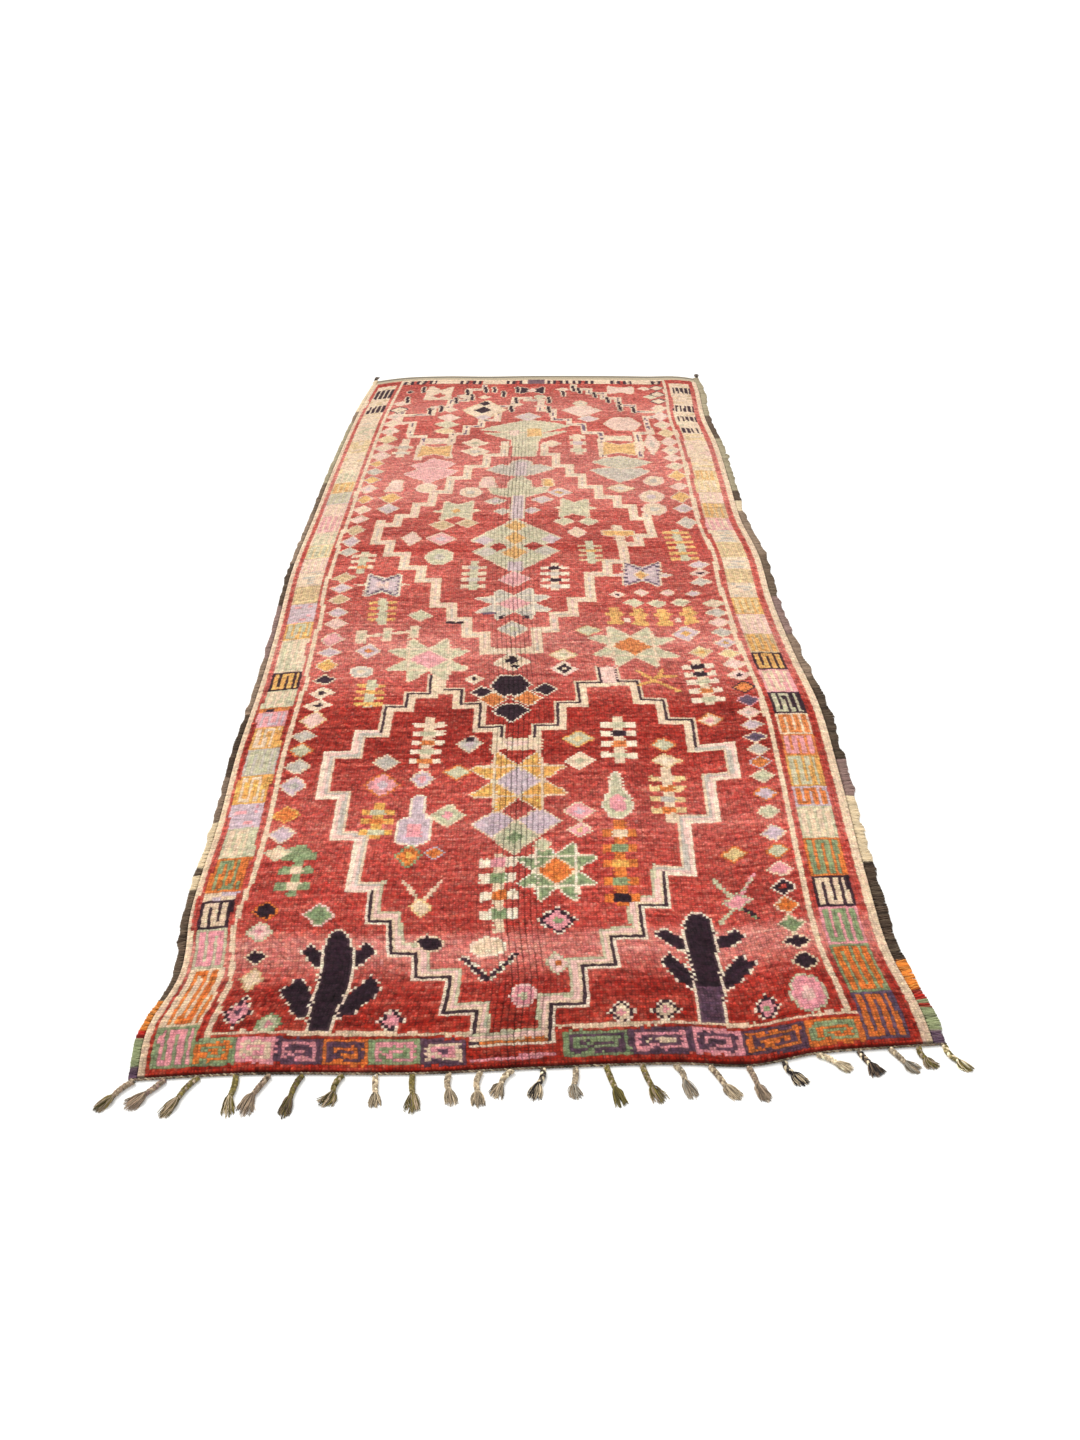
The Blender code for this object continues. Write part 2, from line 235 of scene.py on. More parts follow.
# Shapes with slanting sides: dye and rim dye, then each corner's column and row.
LEAVES = """
black white/ground 33.5 29 38 34.8 44.5 27 44.8 18.5 41 20.5
black white/ground 64.5 29.3 60.3 34.8 53.6 26.5 53.4 18.5 58.5 20.5
black white/ground 37.5 45.5 41 48.5 45.2 43.5 44.6 38 41.5 40.5
black white/ground 61.5 45 58.5 48.5 53.8 43.5 53.6 38 57.5 40.5
black white/ground 152.5 37 156 40.5 162 33 162 25.5 157.5 29
black white/ground 183 36 179 40.3 170.6 33 170 26.5 174.5 29
black white/ground 153 49 156.4 51.2 162.6 47.5 162.4 42 158 44
black white/ground 182.6 48 180 51.2 172.6 48 171.8 43.6 178 45
black white 47.2 14 53 14 53.2 20 53.5 34 53.9 46 53 50.5 51 53.8 48.4 53.8 46.2 50.5 45 46 44.3 \
34 45.4 22
black white 162 14 168.5 14 169.6 28 171.2 40 172.8 51 172 56 170 59.6 167 59.6 164.4 56 163.2 51 \
162.4 40 162 28
plum - 162 14 162.2 28 169.4 28 168.5 14
mauve white 65 97.5 64.8 109 69.4 111 69.6 122.5 72.8 124 73.6 111 76 109 76 98 71 95.5
sage white 141 108 139 114 140 120 142.5 124 143 134 145.5 134 146 124 148.5 120 149 114 147 109
black white 96.5 177.5 100.5 182.5 106.5 182.5 110.5 178 104 170
sage cream 85 336 108 361.5 131 337 122 330 94 330
sage cream 87 323 95 331 121 331 129 322 108 299
sage cream 103 391 94 396 91.5 405 98 402.5 102.5 402 103 412 109 419.5 115 412 115.5 402 120 \
402.5 125.5 405 123 396 114.5 391
grey cream 89.5 430.5 97 437 103 435 104 441 109 445 115 441 115 435 121 437 128.5 430.5 118 423 \
109 418.5 99 423
pink blush 44.5 437 53 441 56 447 60 445 70 440 66 434 60 431 50 431
pink blush 42 425 50 431 62 432 72 428.5 66 419 59 414 57 409 54 415 47 419
grey cream 149.5 428 158 431 168 432 178 431 183.5 427 176 419 166 410.5 157 419
sage/grey cream 151 440 158 446 168 450 178 446 185.5 440 176 434 168 431 159 434
sage cream 86 489.5 100 489 122 487 136 491 119 477 116.5 450 104 450 103 477
sage cream 82.5 495 97 504 112 511.5 128 506 138 500 122 489 99 491
"""

# Motifs: drawing, column, row, half width, half height, dye, then rim dye and dye of the heart.
MOTIFS = """
diamond 24 21 4.9 6.6 black white/ground, diamond 24 21 3.1 4.6 pink - plum
diamond 23 34 4.2 4.9 cream tan, diamond 23 43.2 3.8 3.8 black cream
diamond 24 54 5 5 blush sage pink, diamond 25 63.5 4.8 4.8 black orange
diamond 43 61.4 5.7 6 green blush, diamond 34.5 16.5 4.4 4.8 sage green pink
diamond 71 17.5 4.6 5.4 black white/ground, diamond 71 17.5 2.6 3.2 pink
diamond 76.5 65 4.5 4.5 cream yellow, oval 79 49 4.9 3.7 black cream, oval 98 46 6.2 4.6 cream white
oval 109 25.5 4.4 4.8 pink blush sage, diamond 120 38 4.4 5.2 blush sage orange
diamond 121.5 56.5 7.4 7 black white/ground, diamond 121.5 56.5 4.9 4.7 pink - green
star 122 80 14.8 15.8 green white orange, diamond 139 17.8 4.8 5.4 black white/ground
diamond 139 17.8 3 3.4 cream - pink, diamond 152 18.2 5.2 5.2 black white/ground
diamond 152 18.2 3.2 3.2 cream - pink, diamond 182 18.5 4.9 5.8 black white/ground
diamond 182 18.5 3.1 3.7 pink - green, oval 196 21 6 7.8 pink sage blush
diamond 70 90 5.2 6.5 orange green gold, diamond 79 91.5 4 4 orange mauve
diamond 182.5 63.5 5.5 4.4 pink sage, diamond 183.5 87 5.5 4.5 yellow orange
oval 31 92 4.2 3.2 green, diamond 57 129.5 7.2 7.8 pink orange mauve
diamond 57 143.5 5.8 5.4 grey cream, diamond 82 111.5 6.8 7 sage cream pink
diamond 72 133.5 5.3 6.2 mauve cream pink, diamond 85 137 5.8 4.9 sage orange
block 70.5 103.5 2.6 3.6 pink, oval 144 116 3 5 pink, diamond 88.5 155 5.6 6.2 grey cream mauve
block 88.3 158 1.8 1.6 black, diamond 99.5 106 9.6 8.6 mauve cream
diamond 115 106.5 9 8.6 mauve cream, diamond 107 98.5 8.6 10 sage cream green
star 107.5 130.7 18.8 19.4 gold cream mauve, diamond 130 156.5 6.4 5.8 sage gold yellow
diamond 131 142 6 6.2 cream white sage, diamond 129.5 111.5 6.2 6 pink cream mauve
diamond 130 101 4.8 4.8 pink cream yellow, diamond 117 93.5 4 4.2 sage cream
diamond 163 142.5 6.4 4.8 cream yellow white, diamond 163 153 5.4 5 sage orange
diamond 183 169 5.6 5.6 cream orange pink, diamond 43 226 6 6.8 mauve cream orange
oval 41 208.5 5.2 4.8 grey white cream, block 38.5 238.5 2.4 5.8 cream - sage
block 50 240 2.4 6.2 cream - sage, block 62 242 2.4 5.8 cream - sage
diamond 64 257 6 5.8 sage cream, star 69 218.5 18.4 18.4 sage cream pink
diamond 89 202.5 4.2 4.4 cream white black, diamond 104.8 215 8.8 7.6 cream white
diamond 105 216.5 3.4 3.4 black, diamond 106.5 211.5 2.4 1.8 black, hex 104 197 9 8.2 black white
diamond 92 192.3 5.4 5 black white, diamond 118 192.5 5.8 5.4 black white
diamond 96.5 186.5 6.2 6.4 orange white, diamond 110.5 186.5 6.6 6.6 orange white
diamond 127 209 5.6 6.4 white blush, diamond 127 209 3.4 4 black - cream
diamond 127 220.5 6.4 5.4 cream yellow sage, diamond 106 243.5 7.4 7.8 grey cream sage
diamond 140 241.5 6.2 5 sage yellow, star 158.5 227.5 20 18 sage cream orange
diamond 183.5 238.5 6.8 7.2 mauve cream gold, diamond 188 221.5 6 5.2 yellow cream gold
block 158.5 251 1.4 1.8 white, block 181.5 251 1.4 1.8 white, diamond 163 267.5 5 4.2 sage cream
diamond 174 267.5 5 4.2 sage cream, diamond 185 267.5 5 4.2 sage cream
diamond 156 275 4 3.6 blush cream black, diamond 168 278 4 3.6 blush cream
diamond 180 278 4 3.6 blush cream, diamond 192 275.5 4 3.6 mauve cream
star 107.5 267.5 18.8 16 grey white pink, block 101.5 254.5 1.2 1.8 black
block 113 254.5 1.2 1.6 black, block 96 259 3.4 1 purple, diamond 107.5 292.5 8.2 8.8 pink blush
block 108 306 3.8 5 mauve, diamond 91.5 336 5.4 5.6 mauve, diamond 125.5 336 5.4 5.6 mauve
diamond 93.5 322.5 5.4 5.6 grey, diamond 122.5 322.5 5.4 5.6 grey, diamond 99 328 4.6 5.2 ground
diamond 117 328.5 5 5.2 ground, diamond 108 353 7 7.4 gold cream
diamond 107.5 338 6.4 8.4 gold cream, diamond 107.5 321.5 7.6 8.4 gold cream
diamond 45.5 288 15 3.2 cream, yoke 45.5 287.5 8.6 12.4 grey/purple white blush
bow 45.5 287.5 6.4 9.4 mauve - blush, diamond 169.5 295.5 15.5 5 mauve cream
yoke 169 297 9.4 13.4 purple/mauve cream, bow 169 297 6.8 10 mauve, diamond 168.5 296 4 5 gold cream
diamond 55 338.5 5.4 9.4 blush cream, diamond 70 339 8 8.2 pink cream mauve
oval 70 318 7.2 9 sage cream grey, diamond 140 344 5.6 7.2 cream blush
diamond 197 305.5 5.8 5 mauve cream, diamond 197 296.5 5.6 4.6 blush cream black
diamond 197 287 5.8 4.8 grey cream, diamond 69.5 355.5 7.6 6.8 tan cream
diamond 83 357.5 6.2 6 tan cream, diamond 134 357.5 6 5.6 sage cream
diamond 147 357.5 6 5.6 sage cream, diamond 76 373 13.5 4.6 sage cream
yoke 76.3 374 8.8 13 sage cream, diamond 75.5 373.3 3 3.2 gold, diamond 140.3 375 12 4.6 sage cream
yoke 139.8 375 8.2 13.2 sage cream, block 109 377 4.2 16 mauve cream
diamond 96.5 385.5 6.8 5.4 grey cream mauve, diamond 122 386 6.8 5.4 mauve cream grey
diamond 101 371.8 5.4 5 grey cream, diamond 117 372 5.4 5 mauve cream
diamond 38.5 376 6.6 7.4 mauve cream grey, diamond 38.5 390.5 6.6 8 gold cream
bell 39 407.5 5.6 8.6 blush cream, oval 82 398 6.4 7.2 cream white grey
bell 91 412.5 5.6 8 blush cream, oval 57 404 6.4 6.6 cream blush, block 109.5 431 3.2 10 mauve
block 125 410 3.6 6.4 gold cream, diamond 131.2 396 7.4 6.8 mauve cream gold
diamond 166 402 8.4 6.8 cream tan grey, oval 185 412.5 6.2 7.2 cream blush grey
oval 183 390.5 7.2 8.4 cream blush mauve, oval 183 373.5 7 8.4 cream blush grey
block 161.3 340 2.6 13 cream, block 161.3 343.5 8.6 3.8 gold cream, yoke 57 459.5 10.4 10 gold cream
yoke 168 462.5 10.4 11.5 gold cream, block 57 475.5 8.5 5 cream - blush
block 168.5 479.5 8.5 4.4 cream - sage, diamond 81 459 8.8 8 cream white grey
diamond 80.5 472.5 8.4 7.6 cream white sage, diamond 188 470 5.6 18 blush cream grey
block 116.8 489 4.4 6.8 gold, block 104 489 3 4.4 blush, diamond 83 531 15 19.5 cream yellow
diamond 83 517 5.4 4.6 mauve, diamond 82 531 5.8 6.4 black, diamond 82 543.5 4 4.4 black
hex 173.5 504.5 12.8 12 blush cream, diamond 147.5 529.5 13.4 12.6 blush cream
diamond 152 514 8 6.4 mauve cream, diamond 112 517.5 9 8.8 mauve cream grey
diamond 60 493 7.2 6.4 yellow cream, diamond 60.5 504.5 8.4 7.2 sage cream
diamond 61 516.5 8.2 7.4 blush cream, block 48.5 563.5 9 14 cream, diamond 49 577 6.4 7 ground
diamond 49 558.5 4.6 5 ground, diamond 127 470 6.6 6.2 cream blush, diamond 98.5 466 4 5 cream
oval 118 556 4 4.4 sage cream, diamond 194 557 5.4 5.4 sage cream
oval 146 543 5 4.8 cream sage grey, diamond 66 558 5.6 4.6 cream grey, diamond 80 556 4.6 4.2 cream
diamond 133 571 5 4.4 cream blush, diamond 190 574 5 4 cream blush
diamond 120 538 5 4.4 blush cream, diamond 60 531 5.4 5 cream blush, diamond 104 541 4.8 4.4 cream
diamond 28 567.5 3.4 3.6 black white, bow 111.5 569.5 9 8 black cream
diamond 111.5 569.5 3.6 5 blush, yoke 173.5 570 9.4 8.6 blush cream
idol 153 254.5 4.2 8 gold, idol 164 254.5 4.2 8 gold, idol 175 254.5 4.2 8 gold
idol 187 254.5 4.2 8 gold
"""

# Small diamonds one above another: column and half width, then row, half height and dyes.
DIAMOND_CHAINS = (
    (199, 5, """
34 4.5 black cream, 42.3 3.8 black cream, 50 4.4 green cream, 58.8 4.6 orange cream
67.5 4.6 black white red, 76.5 4.6 pink cream, 86 4.6 sage orange, 96 5 mauve cream
108 4.6 sage cream, 119 5.2 mauve orange, 129.5 5 sage cream, 138.7 4.6 orange mauve
147 4.4 grey cream, 155.5 4.6 purple cream, 164 4.4 mauve cream, 173 4.8 blush cream grey"""),
    (24, 5.4, """
92 4.2 cream sage, 102 5.2 mauve cream, 113 5.2 orange gold, 130 7 mauve cream grey
142 5.4 grey cream, 152.5 5.4 sage orange, 162 4.6 grey cream"""),
    (26, 5.6, """
173 7 blush yellow, 183.5 4.6 cream white black, 192.5 4.8 cream white black, 202.5 4.4 black cream
214 6 gold cream, 225 4.6 mauve cream, 236.5 7.4 pink cream, 250.5 5.8 blush cream
260.8 5.2 mauve cream, 273.5 5.6 tan cream, 285 5.4 mauve cream, 296 5.8 tan cream"""),
    (24.5, 5.4, """
325 5.6 grey cream, 337 6.6 mauve cream, 350.5 7 tan cream, 364 6 blush cream, 376.5 6 cream blush
390 6.6 gold blush, 404 6.6 blush cream mauve, 417 6.2 gold mauve, 429 5.8 grey cream
441 5.6 gold blush"""),
    (25.5, 6.6, """
453 7.4 blush cream, 466 8 cream pink, 480 8.4 yellow cream, 494 8.2 blush cream sage
508 8 cream pink, 521 7 blush cream grey, 533 6.4 cream black, 545 5 blush cream"""),
    (200, 5.6, """
182 4.8 purple pink, 191.7 5 orange black, 201 4.8 blush cream black, 210 4.8 blush cream
218.7 4.6 yellow cream, 228 5 mauve cream gold, 237.5 4.8 grey cream, 246.5 4.8 blush cream
255.7 4.8 grey cream, 264.7 4.6 cream sage"""),
    (199, 6, """
355 8 grey cream, 373.5 6.8 mauve cream grey, 389 8.4 gold cream, 403.5 6 blush cream
419 8.4 gold cream, 433.5 6.6 cream blush sage, 446.5 6.6 blush cream, 459 8.4 cream blush grey
473 8.6 blush cream, 488 8.8 yellow cream, 503 8.6 cream blush sage, 519 8.6 blush mauve
534 7 cream blush, 548 6.4 cream black, 562 6.4 cream black, 575 5.4 cream black"""),
)

# Dark strokes with a pale side, scattered by the far border: column and row of each.
FAR_DASHES = """
61 549, 67 566, 71 556, 79 571, 85 571, 92 562, 101 571, 124 550, 133 562, 140 573, 144 569, 155 560
164 550, 172 541, 28 552, 36 571, 102 549, 46 528, 53 533, 100 533, 181 531, 125 531, 172 535
205 566
"""

# Dark strokes across the far border: first and last column of each group.
FAR_BARS = """
20 43, 60 76, 93 106, 122 137, 140 152, 153 156, 167 182, 196 211
"""

# Centre crease: the pile there is pulled into ridges along the rug. Its grooves are darkened with
# painted shade, partly also for the darker foundation that shows in them.
CREASE_COLUMN = 107.0
CREASE_SPREAD = 9.5
CREASE_END = 530
CREASE_TAPER = 90
CREASE_SWAY = 1.5
CREASE_SWAY_ROWS = 40
CREASE_PAINTED_SHADE = 0.55
CREASE_TIPS = 1.3

# The knots: how far one strays from its place, in knots, then the painted shade of the hollows
# between them (less on pale dyes), the painted highlight on the tips, the painted shade on the
# rug's bristly rim, and how dark its back is.
KNOT_SHIFT = 0.22
HOLLOW_PAINTED_SHADE = 0.46
HOLLOW_PALEST = 1.16
TIP_PAINTED_HIGHLIGHT = 1.1
RIM_PAINTED_SHADE = 0.62
BACK_SHADE = 0.5
RIM_SWELL = (0.0002, 0.0022)
BACK_LIFT = 0.0002

# Points along each selvedge, places where its girth changes and by what share, then how far
# its yarn strays in colour and how much paler it grows towards the far end, partly real fading
# and partly painted sheen.
EDGE_POINTS = 1200
EDGE_LUMPS = 160
EDGE_LUMP = 0.09
EDGE_LUMP_OUT = 0.6
EDGE_STRAY = 0.17
EDGE_FADE_AND_SHEEN = 0.22
WRAP_STRAY = 0.06

# Points along the end cord, along one cycle of a plait, along a loose yarn and round a tie.
TWINE_POINTS = 1250
TWINE_RADII = (0.0013, 0.0012)
TWINE_HIGH = 0.0032
PLAIT_POINTS = 12
LOOSE_POINTS = 6
TUFT_POINTS = 7
TUFT_YARNS = ("black", "brown", "umber")
TIE_POINTS = 9
TIE_GIRTH = 0.0011
TUFT_TIE_GIRTH = 0.0012

# The flat-woven band: its warps and picks, then the share of its width where each yarn starts.
BAND_WARPS = 341
BAND_PICKS = 37
BAND_SHARES = (0, 0.08, 0.1, 0.62, 0.66, 0.86, 0.9, 1)
BAND_YARNS = (0, 0, 1, 1, 2, 2, 1, 1)
# How much darker all the band's yarns are made, then the painted shade along its bottom rim.
BAND_SHADE = 0.77
BAND_RIM_PAINTED_SHADE = 0.7

# Side cords, colours by row: the row where each wrapping ends, then its dye.
LEFT_WRAPS = """
4 purple, 14 sage, 17 red, 28 orange, 52 umber, 56 brown, 77 umber, 84 cream, 88 umber, 112 cream
139 taupe, 182 brown, 226 taupe, 274 mauve, 318 brown, 378 taupe, 420 umber, 520 khaki, 540 taupe
610 cream
"""

# The same on the right.
RIGHT_WRAPS = """
5 purple, 14 sage, 15.5 red, 17 sage, 21 red, 33 orange, 80 brown, 117 cream, 140 mauve, 192 brown
200 umber, 238 taupe, 274 mauve, 320 umber, 374 taupe, 388 cream, 402 brown, 484 khaki, 526 brown
610 khaki
"""

# Dyes of the yarns outside the pile.
YARNS = {
    "purple": (104, 80, 98), "sage": (152, 160, 120), "red": (176, 46, 36),
    "orange": (228, 142, 62), "brown": (84, 68, 56), "cream": (232, 212, 178),
    "taupe": (146, 124, 106), "mauve": (150, 122, 116), "umber": (108, 90, 74),
    "khaki": (164, 154, 126), "olive": (112, 100, 54), "grey": (152, 134, 112),
    "stone": (184, 166, 138), "black": (44, 38, 38), "tan": (190, 166, 128), "ash": (150, 142, 128),
}

# Tassels: root, reach across and outwards, then the dyes of three strands and of the loose end.
TASSELS = """
-0.811 -0.058 -0.078 grey grey taupe olive grey
-0.75 -0.06 -0.077 mauve grey taupe grey taupe
-0.685 -0.052 -0.103 olive olive grey olive grey
-0.61 -0.003 -0.106 olive olive olive olive stone
-0.544 -0.046 -0.1 taupe grey umber grey taupe
-0.478 -0.027 -0.108 olive umber olive umber olive
-0.398 -0.022 -0.084 olive grey olive grey olive
-0.332 0.009 -0.084 stone cream grey stone grey
-0.258 0.009 -0.098 olive olive olive olive grey
-0.185 0.005 -0.084 grey grey stone grey stone
-0.123 -0.005 -0.092 stone grey stone stone grey
-0.059 -0.039 -0.07 stone cream grey stone grey
0.003 -0.02 -0.082 black cream black black stone
0.068 -0.008 -0.082 grey stone grey grey ash
0.13 0.028 -0.106 olive olive grey olive olive
0.203 0.028 -0.1 olive grey olive olive grey
0.269 0.031 -0.09 grey stone grey grey ash
0.339 0.044 -0.092 grey umber stone grey stone
0.416 0.022 -0.092 taupe grey taupe grey taupe
0.491 0.026 -0.069 black cream black black stone
0.561 0.064 -0.048 cream cream stone cream stone
0.647 0.031 -0.07 black cream umber black umber
0.712 0.041 -0.071 grey stone grey grey ash
0.772 0.012 -0.064 olive olive grey olive grey
0.826 0.03 -0.076 olive cream olive olive cream
"""

# Stripes of the side borders: dye, then first and last column at the near end and at the far end.
LEFT_LANES = (
    ("cream", (-2, 1.7), (-2, 2.4)), ("red", (1.7, 3.4), (2.4, 4.2)),
    ("blocks", (3.4, 15.2), (4.2, 16.4)), ("red", (15.2, 17.0), (16.4, 18.0)),
    ("cream", (17.0, 18.9), (18.0, 20.2)),
)
RIGHT_LANES = (
    ("cream", (205.0, 207.0), (203.8, 206.2)), ("red", (207.0, 209.0), (206.2, 208.4)),
    ("blocks", (209.0, 222.2), (208.4, 222.2)), ("red", (222.2, 225.0), (222.2, 224.8)),
    ("cream", (225.0, 230), (224.8, 230)),
)
# The left border bends inwards by its fringed end: the row, length and depth of that bend.
LANE_BEND = (50, 21, 0.16)
BLOCKS_START = 2

# Near border: its rows and columns, how it waves, the medallion's foot that breaks it, its
# nested rings with their slot, and the line above it.
NEAR_BLOCK_ROWS = (1.8, 11.2)
NEAR_COLUMNS = (14, 209)
NEAR_WAVE = 0.5
NEAR_WAVE_KNOTS = 19
FOOT_COLUMNS = (93.5, 119)
RING_KNOTS = 1.55
SLOT_SHIFT = 2
SLOT_HALF_WIDE = 1.1
NEAR_LINE_ROW = 12.9
NEAR_LINE_HALF = 0.75

# Far border: its first row and its columns, the pitch and width of its bars, its plum mark and
# the slant of the strokes scattered near it.
FAR_BORDER_ROW = 583
FAR_COLUMNS = (18, 206)
FAR_PITCH = 4.4
FAR_BAR = 2.3
FAR_GAP = 6.6
FAR_MARK = 114
FAR_MARK_HALF = 6
DASH_LEAN = 1.2
DASH_HALF_HIGH = 5

# How far the knots of a shape stray from the loom's own places: slow drifts, the tooth of every
# second row and chance, all in knots.
DRIFT = 0.3
CALM_DRIFT = 0.2
TOOTH = 0.12
STRAY_ACROSS = 0.1
STRAY_ALONG = 0.15

# How much smaller a heart is than its motif, a star's inner lines, and a comb's bars.
HEART = 2.4
STAR_HEART = 2.2
STAR_LINE = 0.035
COMB_BAR = 0.26
COMB_HEART = 0.6

# How the wool pales towards the far end, partly real fading and partly painted sheen, how much
# darker it is made towards the fringed end, how it is worn all over, how far one knot's colour
# strays, and how long the streaks in it are.
FADED_AND_SHEEN = (0.88, 0.78, 0.69)
FADE_AND_SHEEN_START = 0.1
FADE_AND_SHEEN_POWER = 0.7
NEAR_DARKENING = 0.16
NEAR_DARKENING_ROWS = 26
KNOT_STRAY = 0.085
WORN = 0.18
WORN_LIMITS = (-0.1, 0.6)
HUE_STRAY = 0.025
STREAK = 0.05
STREAK_KNOTS = 11
CLOUD = 0.035

# Share of a dashed thread in its first dye, then pitch, inset and width of a side block's bars.
DASH_SHARE = 0.45
BAR_PITCH = 2.9
BAR_INSET = 1.3
BAR_SHARE = 0.58

# Lengths of the pile that are knotted as separate meshes: name, first row and last row.
PILE_PARTS = (("pile_near", 0, 197), ("pile_middle", 197, 394), ("pile_far", 394, 592))
BAND_GAP = 0.0003

# Far corner tufts: side, end of the loom, shift of the root, then reach.
CORNER_TUFTS = (("left", 0.0, -0.010, (0.004, 0.072)), ("right", 1.0, 0.015, (0.006, 0.078)))

# Side, warp cords and width of each overcast edge.
SELVEDGES = (("left", 2.0, LEFT_SELVEDGE_WIDE), ("right", 3.0, RIGHT_SELVEDGE_WIDE))

# The photograph's camera, its key light and the floor.
CAMERA_PLACE = (0.0207, -3.7168, 1.9115)
CAMERA_TURN = (math.radians(55.96), 0.0, math.radians(-0.07))
KEY_TURN = (math.radians(-38), math.radians(-28), 0.0)
FLOOR_REACH = 90.0
SENSOR_WIDE = 36.0
CLIP_END = 400.0
SKY_COLOUR = (1.0, 0.995, 0.985)
KEY_COLOUR = (1.0, 0.985, 0.96)

# Wool of each kind: scale and depth of its fibres, then its sheen.
WOOLS = {
    "pile wool": (420.0, 0.0016, 0.05), "edge wool": (700.0, 0.0009, 0.06),
    "flat weave": (600.0, 0.0007, 0.06), "fringe yarn": (900.0, 0.0007, 0.06),
    "tuft yarn": (900.0, 0.0007, 0.06),
}


def value(word):
    """A number or a name from a table. A dash stands for no name."""
    if word == "-":
        return ""
    return float(word) if word[-1].isdigit() else word


def rows_of(text):
    """Rows of a table, parted by commas and line ends, as lists of numbers and names."""
    lines = text.replace(",", "\n").strip().splitlines()
    return [[value(word) for word in line.split()] for line in lines]


def smooth(table, at):
    """Height of a smooth line through a table's points."""
    xs, ys = np.array(table, float).T
    slopes = np.gradient(ys, xs)
    at = np.clip(np.asarray(at, float), xs[0], xs[-1])
    cell = np.clip(np.searchsorted(xs, at) - 1, 0, len(xs) - 2)
    wide = xs[cell + 1] - xs[cell]
    u = (at - xs[cell]) / wide
    rise = (2 * u**3 - 3 * u**2 + 1) * ys[cell] + (3 * u**2 - 2 * u**3) * ys[cell + 1]
    lean = (u**3 - 2 * u**2 + u) * slopes[cell] + (u**3 - u**2) * slopes[cell + 1]
    return rise + wide * lean


def loom_point(across, along):
    """Place on the rug of a point of the loom, both shares from 0 to 1."""
    reach = -END_REACH + 2 * END_REACH * across
    y = (1 - along) * smooth(NEAR_END, reach) + along * smooth(FAR_END, reach)
    left = smooth(LEFT_EDGE, y) + LEFT_SELVEDGE_WIDE
    right = smooth(RIGHT_EDGE, y) - RIGHT_SELVEDGE_WIDE
    return (1 - across) * left + across * right, y


def pile_top(x, y):
    """Height of the pile's top, which swells a little from place to place."""
    long_swell = np.sin(2.3 * y + 1.4 * np.sin(1.9 * x))
    cross_swell = np.sin(5.3 * x + 0.9 * y)
    return PILE_THICK + PILE_WAVE * (0.6 * long_swell + 0.4 * cross_swell)


def in_frame(x, y, z):
    """Points measured from the middle of the fringed edge, moved to the frame's origin."""
    x, y, z = np.broadcast_arrays(x, y, z)
    return np.stack((x - MIDDLE[0], y - MIDDLE[1], z), axis=-1).reshape(-1, 3)


def star_shape(u, v):
    """Eight-pointed star: two points by each corner, notched on the axes and the diagonals."""
    longer = np.maximum(abs(u), abs(v))
    shorter = np.minimum(abs(u), abs(v))
    petal = (longer <= 1) & (shorter >= 0.9 * (longer - 0.5)) & (shorter <= 0.55 - 0.1 * longer)
    return petal | (longer + shorter <= 0.5)


def idol_shape(u, v):
    """Small standing figure with arms and a wide foot."""
    body = (abs(u) <= 0.55) & (abs(v) <= 1)
    arms = (abs(u) <= 1) & (abs(v - 0.25) <= 0.2)
    foot = (abs(u) <= 0.85) & (v <= -0.55) & (v >= -1)
    return body | arms | foot


SHAPES = {
    "diamond": lambda u, v: abs(u) + abs(v) <= 1, "oval": lambda u, v: u * u + v * v <= 1,
    "block": lambda u, v: np.maximum(abs(u), abs(v)) <= 1,
    "hex": lambda u, v: (abs(v) <= 1) & (abs(u) + 0.5 * abs(v) <= 1),
    "bell": lambda u, v: (abs(v) <= 1) & (abs(u) <= 0.75 - 0.25 * v),
    "bow": lambda u, v: (abs(u) <= 1) & (abs(v) <= 0.2 + 0.8 * abs(u)),
    "yoke": lambda u, v: (abs(u) <= 1) & (abs(v) <= 0.55 + 0.45 * abs(u)),
    "star": star_shape,
    "idol": idol_shape,
}


